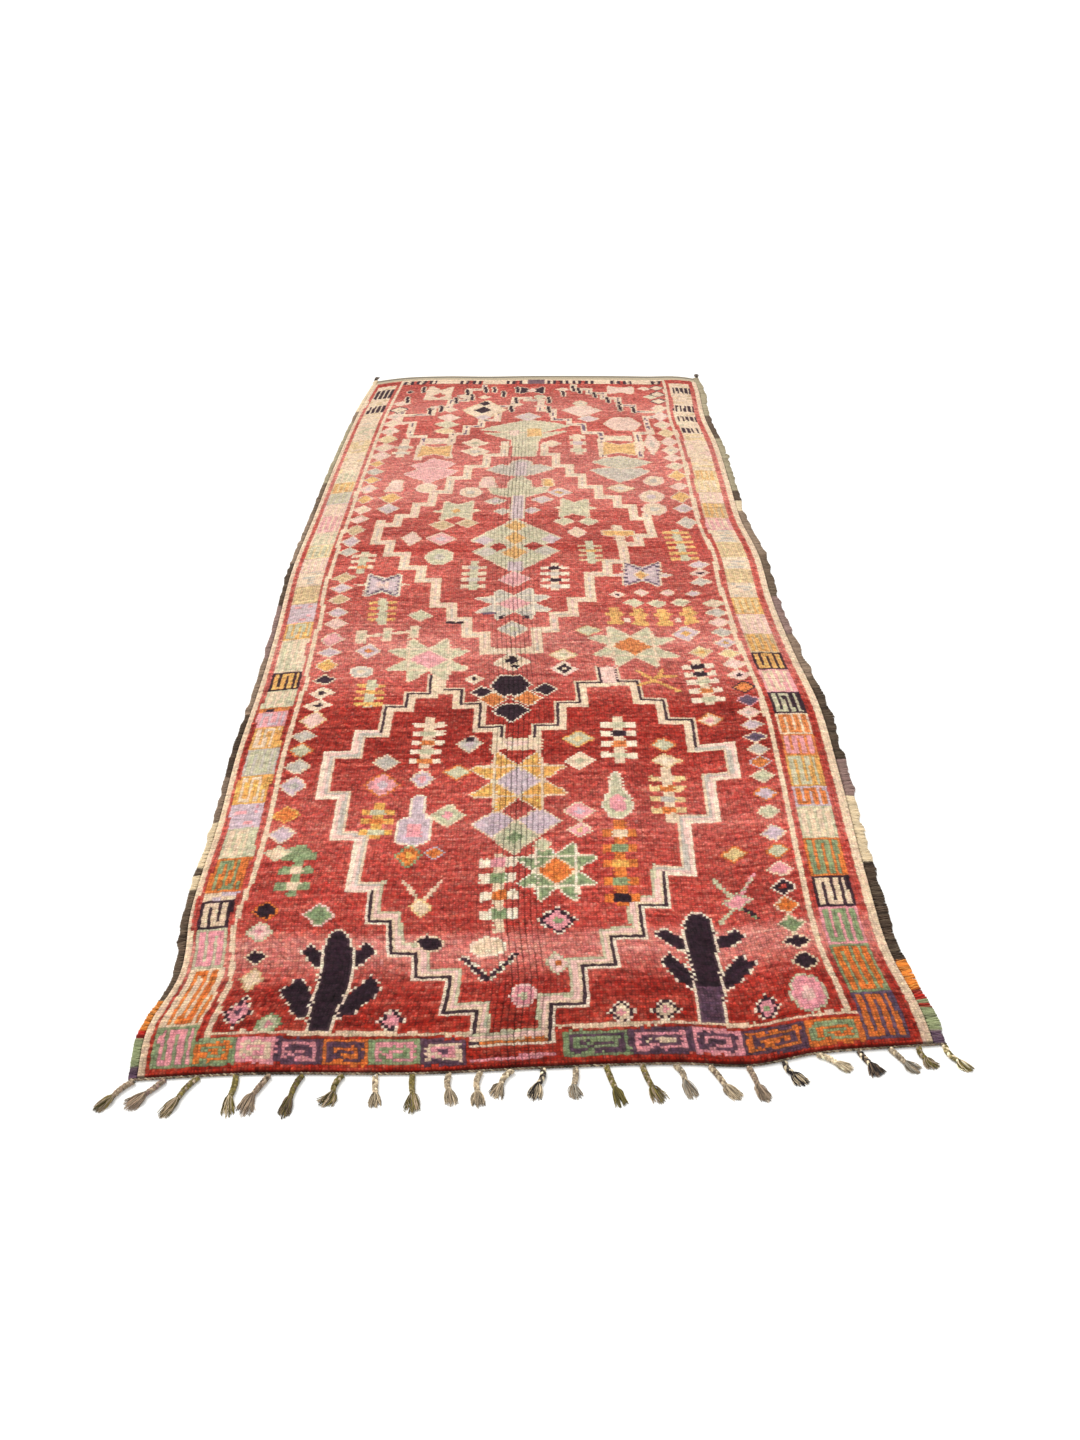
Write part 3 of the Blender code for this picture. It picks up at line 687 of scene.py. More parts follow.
class Chart:
    """The dye of every knot. Shapes are tested at places that stray a little from the loom's
    own, so their edges step by a knot here and there as hand-knotted ones do."""

    def __init__(self):
        rng = np.random.default_rng(SEED)
        self.dye = np.full((ROWS, COLUMNS), GROUND)
        self.row, self.column = np.mgrid[:ROWS, :COLUMNS]
        drift = np.sin(self.row / 9 + 2 * np.sin(self.column / 23))
        tooth = np.where(self.row % 2, TOOTH, -TOOTH)
        self.x = self.column + 0.5 + DRIFT * drift + tooth
        self.x += rng.uniform(-STRAY_ACROSS, STRAY_ACROSS, drift.shape)
        swing = np.sin(self.column / 7 + 2 * np.sin(self.row / 31))
        self.y = self.row + 0.5 + DRIFT * swing
        self.y += rng.uniform(-STRAY_ALONG, STRAY_ALONG, drift.shape)
        self.calm_x = self.column + 0.5 + CALM_DRIFT * drift
        self.calm_y = self.row + 0.5 + CALM_DRIFT * swing
        self.coin = rng.random((ROWS // 3 + 1, COLUMNS // 3 + 1))

    def toss(self):
        """Chance from 0 to 1, the same for each square of nine knots."""
        return self.coin[self.row // 3, self.column // 3]

    def window(self, left, right, low, high):
        """Part of the loom that holds a shape and its rim."""
        rows = slice(max(0, int(low) - 3), min(ROWS, int(high) + 4))
        columns = slice(max(0, int(left) - 3), min(COLUMNS, int(right) + 4))
        return rows, columns

    def dab(self, part, inside, dyes):
        """Knot a dye into a part of the loom. Two dyes with a stroke between them take turns."""
        first, _, second = dyes.partition("/")
        shade = np.full(inside.shape, DYE_NAMES.index(first.replace("ground", "red")))
        if second == "ground":
            shade[self.row[part] % 3 == 1] = GROUND
        elif second:
            turn = (self.row[part] // 2 + self.column[part] // 2) % 2 == 1
            shade[turn] = DYE_NAMES.index(second)
        held = self.dye[part]
        held[inside] = shade[inside]

    def fill(self, inside, dyes):
        """Knot a dye wherever it is called for, on the whole loom."""
        self.dab((slice(None), slice(None)), inside, dyes)

    def stamp(self, part, inside, dye, rim):
        """Knot a shape in one dye and the knots next to it in another."""
        if rim:
            grown = inside.copy()
            grown[1:] |= inside[:-1]
            grown[:-1] |= inside[1:]
            grown[:, 1:] |= inside[:, :-1]
            grown[:, :-1] |= inside[:, 1:]
            self.dab(part, grown & ~inside, rim)
        self.dab(part, inside, dye)

    def motif(self, kind, column, row, half_wide, half_high, dye, rim="", heart=""):
        """One motif with its rim and, inside, a smaller one as its heart."""
        part = self.window(column - half_wide, column + half_wide, row - half_high, row + half_high)
        trim = 1.0 if rim else 0.0
        u = (self.x[part] - column) / (half_wide - trim)
        v = (self.y[part] - row) / (half_high - trim)
        self.stamp(part, SHAPES[kind](u, v), dye, rim)
        if not heart:
            return
        if kind == "star":
            lines = np.minimum(abs(abs(u) - 0.5), abs(abs(v) - 0.5)) < STAR_LINE
            self.dab(part, SHAPES[kind](u, v) & lines, rim)
            self.stamp(part, SHAPES["diamond"](STAR_HEART * u, STAR_HEART * v), heart, "cream")
        else:
            self.stamp(part, SHAPES[kind](HEART * u, HEART * v), heart, "")

    def stroke(self, column, row, to_column, to_row, half_wide, dye, rim=""):
        """A straight slanting stroke."""
        part = self.window(
            min(column, to_column) - half_wide, max(column, to_column) + half_wide,
            min(row, to_row) - half_wide, max(row, to_row) + half_wide,
        )
        run = np.array((to_column - column, to_row - row), float)
        x = self.x[part] - column
        y = self.y[part] - row
        share = np.clip((x * run[0] + y * run[1]) / (run @ run), 0, 1)
        away = np.hypot(x - share * run[0], y - share * run[1])
        self.stamp(part, away <= half_wide, dye, rim)

    def leaf(self, dye, rim, *places):
        """A closed shape with straight sides, from its corners' columns and rows."""
        corners = np.reshape(places, (-1, 2))
        xs, ys = corners.T
        part = self.window(xs.min(), xs.max(), ys.min(), ys.max())
        x, y = self.x[part], self.y[part]
        inside = np.zeros(x.shape, bool)
        for start in range(len(corners)):
            x0, y0 = corners[start]
            x1, y1 = corners[start - 1]
            if y0 != y1:
                crosses = (y0 > y) != (y1 > y)
                inside ^= crosses & (x < x0 + (x1 - x0) * (y - y0) / (y1 - y0))
        self.stamp(part, inside, dye, rim)

    def comb(self, column, low, high, half_trunk, half_bar, trunk, teeth, *crossings):
        """A trunk with level bars across it, each given as its row and the dye of its heart."""
        bars, hearts = crossings[::2], crossings[1::2]
        middle = (low + high) / 2
        self.motif("block", column, middle, half_trunk, (high - low) / 2, trunk)
        for bar, heart in zip(bars, hearts):
            half_high = COMB_BAR * (bars[1] - bars[0])
            self.motif("block", column, bar, half_bar, half_high, teeth)
            self.motif("block", column, bar, half_trunk + COMB_HEART, half_high, heart)

    def stepped_line(self, kind, inwards_x, inwards_y, x, y, *turns):
        """A medallion's stepped outline, made of threads laid side by side. After its start,
        the turns are the next column and the next row, by turns."""
        corners = [(x, y)]
        for place, turn in enumerate(turns):
            x, y = (x, turn) if place % 2 else (turn, y)
            corners.append((x, y))
        for offset, wide, dye in rows_of(STEPPED_THREADS[kind]):
            if "/" in dye and kind in ("pale", "dashed"):
                first, second = dye.split("/")
            else:
                first, second = dye, ""
            half = wide / 2
            shift = offset + half
            moved = [(x + inwards_x * shift, y + inwards_y * shift) for x, y in corners]
            for (x0, y0), (x1, y1) in zip(moved, moved[1:]):
                left, right = min(x0, x1) - half, max(x0, x1) + half
                low, high = min(y0, y1) - half, max(y0, y1) + half
                part = self.window(left, right, low, high)
                x, y = self.calm_x[part], self.calm_y[part]
                inside = (x >= left) & (x <= right) & (y >= low) & (y <= high)
                if second:
                    dashed = self.toss()[part] < DASH_SHARE
                    self.dab(part, inside & ~dashed, second)
                    inside = inside & dashed
                self.dab(part, inside, first)


def lane(chart, near, far):
    """Knots of one stripe along the rug, which widens from the near end to the far one."""
    share = chart.row / ROWS
    row, length, depth = LANE_BEND
    bend = 1 - depth * np.exp(-(((chart.row - row) / length) ** 2)) * (chart.column < COLUMNS / 2)
    left = (near[0] + (far[0] - near[0]) * share) * bend
    right = (near[1] + (far[1] - near[1]) * share) * bend
    return (chart.calm_x >= left) & (chart.calm_x < right), left, right


def knot_side_border(chart, lanes, blocks):
    """Guard stripes, red stripes and the row of blocks down one long side."""
    for dye, near, far in lanes:
        inside, left, right = lane(chart, near, far)
        if dye != "blocks":
            chart.fill(inside, dye)
            continue
        chart.fill(inside, "red")
        low = BLOCKS_START
        for place, (high, frame_dye, bar_dye, drawing) in enumerate(rows_of(blocks)):
            held = inside & (chart.calm_y >= low) & (chart.calm_y < high)
            limits = (left, right, low, high)
            knot_side_block(chart, held, limits, frame_dye, bar_dye, drawing, place % 2 == 0)
            low = high


def knot_side_block(chart, held, limits, frame_dye, bar_dye, drawing, open_above):
    """One block of the side border: a frame round bars that join in turn, dots or bare strokes."""
    left, right, low, high = limits
    side = np.minimum(chart.calm_x - left, right - chart.calm_x)
    end = np.minimum(chart.calm_y - low, high - chart.calm_y)
    chart.fill(held, frame_dye)
    bar = (chart.calm_x - left - BAR_INSET) / BAR_PITCH
    inner = held & (side > 1.1) & (end > 1.3) & (bar >= 0)
    if drawing == "bars":
        near_end = chart.calm_y - low if open_above else high - chart.calm_y
        bars = inner & (bar % 1 < BAR_SHARE)
        bars |= inner & (near_end < 2.8) & (bar < 1.5)
        bars |= inner & (end < 2.8) & (near_end > 5) & (bar > 1) & (bar < 2.5)
    elif drawing == "strokes":
        bars = held & (end > 0.8) & (bar % 1 < BAR_SHARE)
    elif drawing == "dots":
        bars = held & (side > 2) & (chart.toss() > 0.6) & (chart.row % 3 != 0)
    else:
        bars = held & (chart.toss() > 0.75)
    chart.fill(bars, bar_dye)


def knot_near_border(chart):
    """Nested squares along the fringed end, with a cream line above them."""
    wave = NEAR_WAVE * np.sin(chart.column / NEAR_WAVE_KNOTS)
    inner = (chart.x > NEAR_COLUMNS[0]) & (chart.x < NEAR_COLUMNS[1])
    low, high = NEAR_BLOCK_ROWS
    open_foot = (chart.x < FOOT_COLUMNS[0]) | (chart.x > FOOT_COLUMNS[1])
    chart.fill(inner & ((chart.y < low) | open_foot) & (chart.y < high + 1.2), "red")
    for left, right, *dyes in rows_of(NEAR_BLOCKS):
        side = np.minimum(chart.x - left, right - chart.x)
        end = np.minimum(chart.y - low - wave, high + wave - chart.y) * 1.15
        depth = np.minimum(side, end)
        ring = np.floor(depth / RING_KNOTS).astype(int)
        slot = abs(chart.x - (left + right) / 2 + SLOT_SHIFT) < SLOT_HALF_WIDE
        slot &= chart.y < (low + high) / 2 + wave
        ring -= (slot & (ring > 0)).astype(int)
        for place, dye in enumerate(dyes):
            last = place == len(dyes) - 1
            held = (ring >= place) if last else (ring == place)
            chart.fill(held & (depth > 0), dye)
    line = inner & open_foot & (abs(chart.y - NEAR_LINE_ROW - wave) < NEAR_LINE_HALF)
    chart.fill(line & (chart.x > 17), "cream")


def knot_far_border(chart):
    """Broken strokes along the far end."""
    strip = (chart.y > FAR_BORDER_ROW) & (chart.x > FAR_COLUMNS[0]) & (chart.x < FAR_COLUMNS[1])
    chart.fill(strip, "cream")
    for left, right in rows_of(FAR_BARS):
        held = strip & (chart.x > left) & (chart.x < right) & (chart.y < ROWS - 2)
        chart.fill(held & ((chart.x - left) % FAR_PITCH < FAR_BAR), "black")
        chart.fill(held & ((chart.x - left) % (2 * FAR_PITCH) > FAR_GAP), "red")
    chart.fill(strip & (abs(chart.x - FAR_MARK) < FAR_MARK_HALF), "plum")


def knot_chart():
    """Knot the whole pattern and return the dye of every knot."""
    chart = Chart()
    for table, draw in (
        (STEPPED_LINES, chart.stepped_line), (FIRST_LEAVES, chart.leaf),
        (FIRST_MOTIFS, chart.motif), (STROKES, chart.stroke), (COMBS, chart.comb),
        (LEAVES, chart.leaf), (MOTIFS, chart.motif),
    ):
        for row in rows_of(table):
            draw(*row)
    for column, half_wide, diamonds in DIAMOND_CHAINS:
        for row, half_high, *dyes in rows_of(diamonds):
            chart.motif("diamond", column, row, half_wide, half_high, *dyes)
    for column, row in rows_of(FAR_DASHES):
        foot = (column + DASH_LEAN, row - DASH_HALF_HIGH)
        chart.stroke(column, row + DASH_HALF_HIGH, *foot, 1.0, "black", "cream")
    knot_far_border(chart)
    knot_side_border(chart, LEFT_LANES, LEFT_BLOCKS)
    knot_side_border(chart, RIGHT_LANES, RIGHT_BLOCKS)
    knot_near_border(chart)
    return chart


def picked(colour):
    """A picked colour in whole steps from 0 to 255."""
    return np.round(np.array(colour) * 255)


def knot_colours(chart, looks):
    """Colour of every knot: its dye, paler along the rug (partly real fading, partly painted
    sheen), darker towards the fringed end, with each knot a little off.
    """
    rng = np.random.default_rng(SEED + 1)
    own = {"red": looks.field_red, "cream": looks.cream, "black": looks.black}
    dyes = {**DYES, **{name: picked(colour) for name, colour in own.items()}}
    tint = dyes["red"] / np.array(DYES["red"])
    dyes = np.array([dyes[name] for name in DYE_NAMES]) / 255
    colours = dyes[chart.dye]
    rows = np.arange(ROWS) + 0.5
    reds = np.array([BATCHES[batch] * tint for _, batch in ABRASH]) / 255
    turns = [row for row, _ in ABRASH]
    field = np.stack([np.interp(rows, turns, reds[:, k]) for k in range(3)], axis=1)
    field = np.repeat(field[:, None], COLUMNS, axis=1)
    is_field = chart.dye == GROUND
    # Paler towards the far end: partly real fading, partly painted sheen.
    along = np.clip((chart.row / ROWS - FADE_AND_SHEEN_START) / (1 - FADE_AND_SHEEN_START), 0, 1)
    share = (along**FADE_AND_SHEEN_POWER * looks.fade)[..., None]
    colours += (np.array(FADED_AND_SHEEN) - colours) * share * colours.max(axis=2, keepdims=True)
    # Darker towards the fringed end.
    colours *= 1 - NEAR_DARKENING * np.exp(-chart.row / NEAR_DARKENING_ROWS)[..., None]
    streak = rng.normal(0, 1, (ROWS, COLUMNS))
    streak = sum(np.roll(streak, shift, axis=1) for shift in range(STREAK_KNOTS))
    streak /= math.sqrt(STREAK_KNOTS)
    bloom = abs(rng.normal(0, WORN, (ROWS, COLUMNS))) + 0.5 * WORN * streak
    bloom = bloom.clip(*WORN_LIMITS)[..., None]
    field += (np.array(FADED_AND_SHEEN) - field) * bloom * (field[..., 1:2] + 0.4)
    colours[is_field] = field[is_field]
    depth = 1.2 - colours.min(axis=2, keepdims=True)
    knot = rng.normal(0, KNOT_STRAY, (ROWS, COLUMNS, 1))
    knot = knot + rng.normal(0, HUE_STRAY, (ROWS, COLUMNS, 3))
    swell = np.sin(chart.row / 17 + 3 * np.sin(chart.column / 29))
    cloud = (STREAK * streak + CLOUD * swell)[..., None]
    return np.clip(colours * (1 + knot * depth) * (1 + cloud * depth), 0, 1)


def mesh_piece(name, points, faces, material):
    """Object with its place in its mesh. Each item of faces is an array of equal-sided faces."""
    sides = np.concatenate([np.full(len(part), part.shape[1]) for part in faces])
    corners = np.concatenate([part.ravel() for part in faces]).astype(np.int32)
    mesh = bpy.data.meshes.new(name)
    mesh.vertices.add(len(points))
    mesh.vertices.foreach_set("co", np.asarray(points, np.float32).ravel())
    mesh.loops.add(len(corners))
    mesh.loops.foreach_set("vertex_index", corners)
    mesh.polygons.add(len(sides))
    starts = np.concatenate(((0,), np.cumsum(sides)[:-1])).astype(np.int32)
    mesh.polygons.foreach_set("loop_start", starts)
    mesh.update(calc_edges=True)
    mesh.validate()
    mesh.materials.append(material)
    return linked(name, mesh)


def linked(name, block):
    """A new object in the scene for a mesh, lamp or camera."""
    item = bpy.data.objects.new(name, block)
    bpy.context.scene.collection.objects.link(item)
    return item


def grid_faces(rows, columns):
    """Four-sided faces between neighbouring points of a grid."""
    index = np.arange(rows * columns).reshape(rows, columns)
    faces = (index[:-1, :-1], index[:-1, 1:], index[1:, 1:], index[1:, :-1])
    return np.stack(faces, axis=-1).reshape(-1, 4)


def linear(colour):
    """A picked colour as the renderer's linear light."""
    colour = np.asarray(colour, float)
    return np.where(colour <= 0.04045, colour / 12.92, ((colour + 0.055) / 1.055) ** 2.4)


def feed(tree, socket, given):
    """Give a socket a value, or link it to the socket that feeds it."""
    if isinstance(given, bpy.types.NodeSocket):
        tree.links.new(given, socket)
    else:
        socket.default_value = given


def add_node(tree, kind, output, inputs=None, **settings):
    """Add a node and return one of its outputs. Sockets go by name or by place."""
    node = tree.nodes.new(kind)
    for name, setting in settings.items():
        setattr(node, name, setting)
    for name, given in (inputs or {}).items():
        feed(tree, node.inputs[name], given)
    return node.outputs[output]


def wool(name):
    """Matt wool whose colour is the piece's own dye, broken up by fine fibres."""
    fibre_scale, fibre_depth, sheen = WOOLS[name]
    material = bpy.data.materials.new(name)
    material.use_nodes = True
    tree = material.node_tree
    shader = tree.nodes["Principled BSDF"]
    add = functools.partial(add_node, tree)
    dye = add("ShaderNodeAttribute", "Color", attribute_name="dye")
    place = add("ShaderNodeTexCoord", "Object")
    grain = {"Vector": place, "Scale": fibre_scale, "Detail": 4.0, "Roughness": 0.7}
    fibre = add("ShaderNodeTexNoise", "Fac", grain)
    limits = {"Value": fibre, "From Min": 0.3, "From Max": 0.7, "To Min": 0.66, "To Max": 1.3}
    shade = add("ShaderNodeMapRange", "Result", limits)
    tint = add("ShaderNodeVectorMath", "Vector", {0: dye, "Scale": shade}, operation="SCALE")
    relief = {"Height": fibre, "Strength": 0.9, "Distance": fibre_depth}
    finish = {
        "Base Color": tint, "Normal": add("ShaderNodeBump", "Normal", relief), "Roughness": 0.95,
        "Specular IOR Level": 0.05, "Sheen Weight": sheen, "Sheen Roughness": 0.6,
    }
    for label, given in finish.items():
        feed(tree, shader.inputs[label], given)
    return material


def new_tree(name, sizes):
    """Geometry Nodes tree with a mesh in, a mesh out and named sizes, each with its default."""
    tree = bpy.data.node_groups.new(name, "GeometryNodeTree")
    for way in ("INPUT", "OUTPUT"):
        tree.interface.new_socket("Geometry", in_out=way, socket_type="NodeSocketGeometry")
    for label, default in sizes.items():
        kind = "NodeSocketInt" if isinstance(default, int) else "NodeSocketFloat"
        socket = tree.interface.new_socket(label, in_out="INPUT", socket_type=kind)
        socket.default_value = default
    given = tree.nodes.new("NodeGroupInput").outputs
    output = tree.nodes.new("NodeGroupOutput").inputs
    return tree, given, output, functools.partial(add_node, tree)


def finish_tree(tree, geometry, wool_material, output):
    """End a tree in plain mesh that carries its own wool."""
    real = add_node(tree, "GeometryNodeRealizeInstances", "Geometry", {"Geometry": geometry})
    dress = {"Geometry": real, "Material": wool_material}
    dressed = add_node(tree, "GeometryNodeSetMaterial", "Geometry", dress)
    tree.links.new(dressed, output["Geometry"])


def yarn_tree(wool_material):
    """Round yarn along each line of a mesh, as thick as its points' girth."""
    sizes = {"Sides": 6, "Thickness": 1.0}
    tree, given, output, add = new_tree("Yarn on a path", sizes)
    line = add("GeometryNodeMeshToCurve", "Curve", {"Mesh": given["Geometry"]})
    label = {"Name": "girth"}
    girth = add("GeometryNodeInputNamedAttribute", "Attribute", label, data_type="FLOAT")
    scale = add("ShaderNodeMath", "Value", {0: girth, 1: given["Thickness"]}, operation="MULTIPLY")
    circle = {"Resolution": given["Sides"], "Radius": 1.0}
    section = add("GeometryNodeCurvePrimitiveCircle", "Curve", circle)
    sweep = {"Curve": line, "Profile Curve": section, "Scale": scale, "Fill Caps": True}
    tube = add("GeometryNodeCurveToMesh", "Mesh", sweep)
    soft = add("GeometryNodeSetShadeSmooth", "Geometry", {"Geometry": tube})
    finish_tree(tree, soft, wool_material, output)
    return tree


def wrap_tree(wool_material):
    """Overcast edge: flat-bottomed rings of yarn set close together along a line."""
    sizes = {
        "Pitch": 0.0038, "Yarn": 0.0021, "Width": 0.02, "Thickness": SELVEDGE_THICK, "Cords": 2.0,
        "Groove": 0.0016, "Sway": 0.28, "Plump Min": 0.85, "Plump Max": 1.15, "Seed": SEED,
    }
    tree, given, output, add = new_tree("Overcast edge", sizes)

    def reckon(operation, first, second=0.0):
        return add("ShaderNodeMath", "Value", {0: first, 1: second}, operation=operation)

    line = add("GeometryNodeMeshToCurve", "Curve", {"Mesh": given["Geometry"]})
    pitch = {"Curve": line, "Length": given["Pitch"]}
    spaced = add("GeometryNodeResampleCurve", "Curve", pitch, mode="LENGTH")

    circle = add("GeometryNodeCurvePrimitiveCircle", "Curve", {"Resolution": 14, "Radius": 1.0})
    place = add("GeometryNodeInputPosition", "Position")
    split = add("ShaderNodeSeparateXYZ", "X", {"Vector": place}).node.outputs
    across, up = split["X"], split["Y"]
    reach = reckon("SUBTRACT", reckon("MULTIPLY", given["Width"], 0.5), given["Yarn"])
    wave = reckon("MULTIPLY", given["Cords"], math.pi / 2)
    wave = reckon("MULTIPLY", reckon("ADD", across, 1.0), wave)
    ridge = reckon("ABSOLUTE", reckon("SINE", wave))
    dip = reckon("MULTIPLY", reckon("SUBTRACT", 1.0, ridge), given["Groove"])
    low = given["Yarn"]
    crown = reckon("SUBTRACT", reckon("SUBTRACT", given["Thickness"], low), dip)
    lift = reckon("MINIMUM", reckon("MAXIMUM", reckon("MULTIPLY", up, 2.2), 0.0), 1.0)
    height = reckon("ADD", low, reckon("MULTIPLY", lift, reckon("SUBTRACT", crown, low)))
    flat = {"X": reckon("MULTIPLY", across, reach), "Y": 0.0, "Z": height}
    flat_place = add("ShaderNodeCombineXYZ", "Vector", flat)
    moved = {"Geometry": circle, "Position": flat_place}
    ring = add("GeometryNodeSetPosition", "Geometry", moved)
    section = add("GeometryNodeCurvePrimitiveCircle", "Curve", {"Resolution": 4, "Radius": low})
    wrap = add("GeometryNodeCurveToMesh", "Mesh", {"Curve": ring, "Profile Curve": section})
    soft = add("GeometryNodeSetShadeSmooth", "Geometry", {"Geometry": wrap})

    tangent = add("GeometryNodeInputTangent", "Tangent")
    turned = add(
        "FunctionNodeAlignRotationToVector", "Rotation", {"Vector": tangent},
        axis="Y", pivot_axis="Z",
    )

    def stray(least, most):
        limits = {2: least, 3: most, "Seed": given["Seed"]}
        return add("FunctionNodeRandomValue", 1, limits, data_type="FLOAT")

    swing = stray(reckon("MULTIPLY", given["Sway"], -1.0), given["Sway"])
    tilt = add("ShaderNodeCombineXYZ", "Vector", {"Z": swing})
    plump = stray(given["Plump Min"], given["Plump Max"])
    tilted = add("FunctionNodeRotateRotation", 0, {0: turned, 1: tilt}, rotation_space="LOCAL")
    wide = add("GeometryNodeInputNamedAttribute", "Attribute", {"Name": "wide"}, data_type="FLOAT")
    stretch = {"X": reckon("DIVIDE", wide, given["Width"]), "Y": 1.0, "Z": plump}
    spread = {
        "Points": spaced, "Instance": soft, "Rotation": tilted,
        "Scale": add("ShaderNodeCombineXYZ", "Vector", stretch),
    }
    rings = add("GeometryNodeInstanceOnPoints", "Instances", spread)
    finish_tree(tree, rings, wool_material, output)
    return tree


def grow(name, tree, sizes, points, links, facts):
    """Run a tree on a mesh of lines with facts on its points, and keep the plain mesh."""
    mesh = bpy.data.meshes.new(name + "_lines")
    mesh.from_pydata(points.tolist(), links.tolist(), [])
    for label, values in facts.items():
        values = np.asarray(values, np.float32)
        if values.ndim == 1:
            layer = mesh.attributes.new(label, "FLOAT", "POINT")
            layer.data.foreach_set("value", values)
        else:
            full = np.concatenate((values, np.ones((len(values), 1), np.float32)), axis=1)
            layer = mesh.attributes.new(label, "FLOAT_COLOR", "POINT")
            layer.data.foreach_set("color", full.ravel())
    lines = linked(name + "_lines", mesh)
    modifier = lines.modifiers.new("Grow", "NODES")
    modifier.node_group = tree
    given = [item for item in tree.interface.items_tree if item.in_out == "INPUT"]
    sockets = {item.name: item.identifier for item in given}
    for label, value in sizes.items():
        modifier[sockets[label]] = value
    bpy.context.view_layer.update()
    seen = lines.evaluated_get(bpy.context.evaluated_depsgraph_get())
    grown = bpy.data.meshes.new_from_object(seen)
    grown.name = name
    lines.modifiers.remove(modifier)
    bpy.data.objects.remove(lines)
    bpy.data.meshes.remove(mesh)
    if not grown.polygons:
        raise RuntimeError(f"{name} grew no faces")
    return linked(name, grown)


def chain(lines):
    """Join separate lines of points into one list, with the links inside each line."""
    points = np.concatenate(lines)
    links = []
    first = 0
    for line in lines:
        index = np.arange(first, first + len(line) - 1)
        links.append(np.stack((index, index + 1), axis=1))
        first += len(line)
    return points, np.concatenate(links)


def register_piece(piece, node):
    """Attach a piece to the root body and hide the solid node it stands for."""
    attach(piece, "root")
    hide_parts(node)


def crease_ridge(column, row):
    """Ridges of the pulled pile, from -1 to 1, and how strong they are at a place."""
    sway = CREASE_SWAY * np.sin(row / CREASE_SWAY_ROWS)
    strength = np.exp(-(((column - CREASE_COLUMN - sway) / CREASE_SPREAD) ** 2))
    strength = strength * np.clip((CREASE_END - row) / CREASE_TAPER, 0, 1)
    strength = strength * (0.7 + 0.3 * np.sin(row / 4 + 2.1 * column))
    return np.cos(math.pi * column), strength


def pile_relief(looks):
    """Corners of every knot and the tip of its tuft, as grids of x, y and z."""
    rng = np.random.default_rng(SEED + 2)
    column, row = np.meshgrid(np.arange(COLUMNS + 1.0), np.arange(ROWS + 1.0))
    ridge, strength = crease_ridge(column, row)
    column[1:-1, 1:-1] += rng.uniform(-KNOT_SHIFT, KNOT_SHIFT, (ROWS - 1, COLUMNS - 1))
    row[1:-1, 1:-1] += rng.uniform(-KNOT_SHIFT, KNOT_SHIFT, (ROWS - 1, COLUMNS - 1))
    x, y = loom_point(column / COLUMNS, row / ROWS)
    pulled = looks.crease_depth * strength * ridge
    clump = rng.normal(0, 1, column.shape)
    clump[1:-1, 1:-1] = (clump[1:-1, 1:-1] + clump[:-2, 1:-1] + clump[1:-1, :-2]) / 1.7
    z = pile_top(x, y) - looks.knot_depth + looks.knot_stray * clump + pulled
    tip_column, tip_row = np.meshgrid(np.arange(COLUMNS) + 0.5, np.arange(ROWS) + 0.5)
    tip_column = tip_column + rng.uniform(-KNOT_SHIFT, KNOT_SHIFT, tip_column.shape)
    tip_row = tip_row + rng.uniform(-KNOT_SHIFT, KNOT_SHIFT, tip_column.shape)
    tip_x, tip_y = loom_point(tip_column / COLUMNS, tip_row / ROWS)
    quarter = (pulled[:-1, :-1] + pulled[1:, :-1] + pulled[:-1, 1:] + pulled[1:, 1:]) / 4
    clumps = (clump[:-1, :-1] + clump[1:, 1:]) / 2
    tip_z = pile_top(tip_x, tip_y) + looks.knot_stray * (clumps + rng.normal(0, 0.7, clumps.shape))
    return (x, y, z), (tip_x, tip_y - looks.tuft_lean, tip_z + CREASE_TIPS * quarter)


def knot_dyes(colours):
    """Dyes at the tufts' tips, blended ones for the hollows, and painted shade for hollows and
    grooves.
    """
    rng = np.random.default_rng(SEED + 6)
    padded = np.pad(colours, ((1, 1), (1, 1), (0, 0)), mode="edge")
    blend = (padded[:-1, :-1] + padded[1:, :-1] + padded[:-1, 1:] + padded[1:, 1:]) / 4
    column, row = np.meshgrid(np.arange(COLUMNS + 1.0), np.arange(ROWS + 1.0))
    ridge, strength = crease_ridge(column, row)
    # Painted shade in the hollows between tufts: darker at random, less on pale dyes.
    dark = rng.uniform(0.0, HOLLOW_PAINTED_SHADE, blend.shape[:2]) * (HOLLOW_PALEST - blend.min(axis=2))
    # Painted shade in the crease's grooves.
    painted_pit_shade = (1 - dark) * (1 + CREASE_PAINTED_SHADE * strength * np.minimum(ridge, 0))
    return colours, blend, painted_pit_shade


def edge_loop(rows, columns):
    """Grid places once round the rim, anticlockwise from above."""
    near = [(0, column) for column in range(columns)]
    right = [(row, columns) for row in range(rows)]
    far = [(rows, column) for column in range(columns, 0, -1)]
    left = [(row, 0) for row in range(rows, 0, -1)]
    return np.array(near + right + far + left)


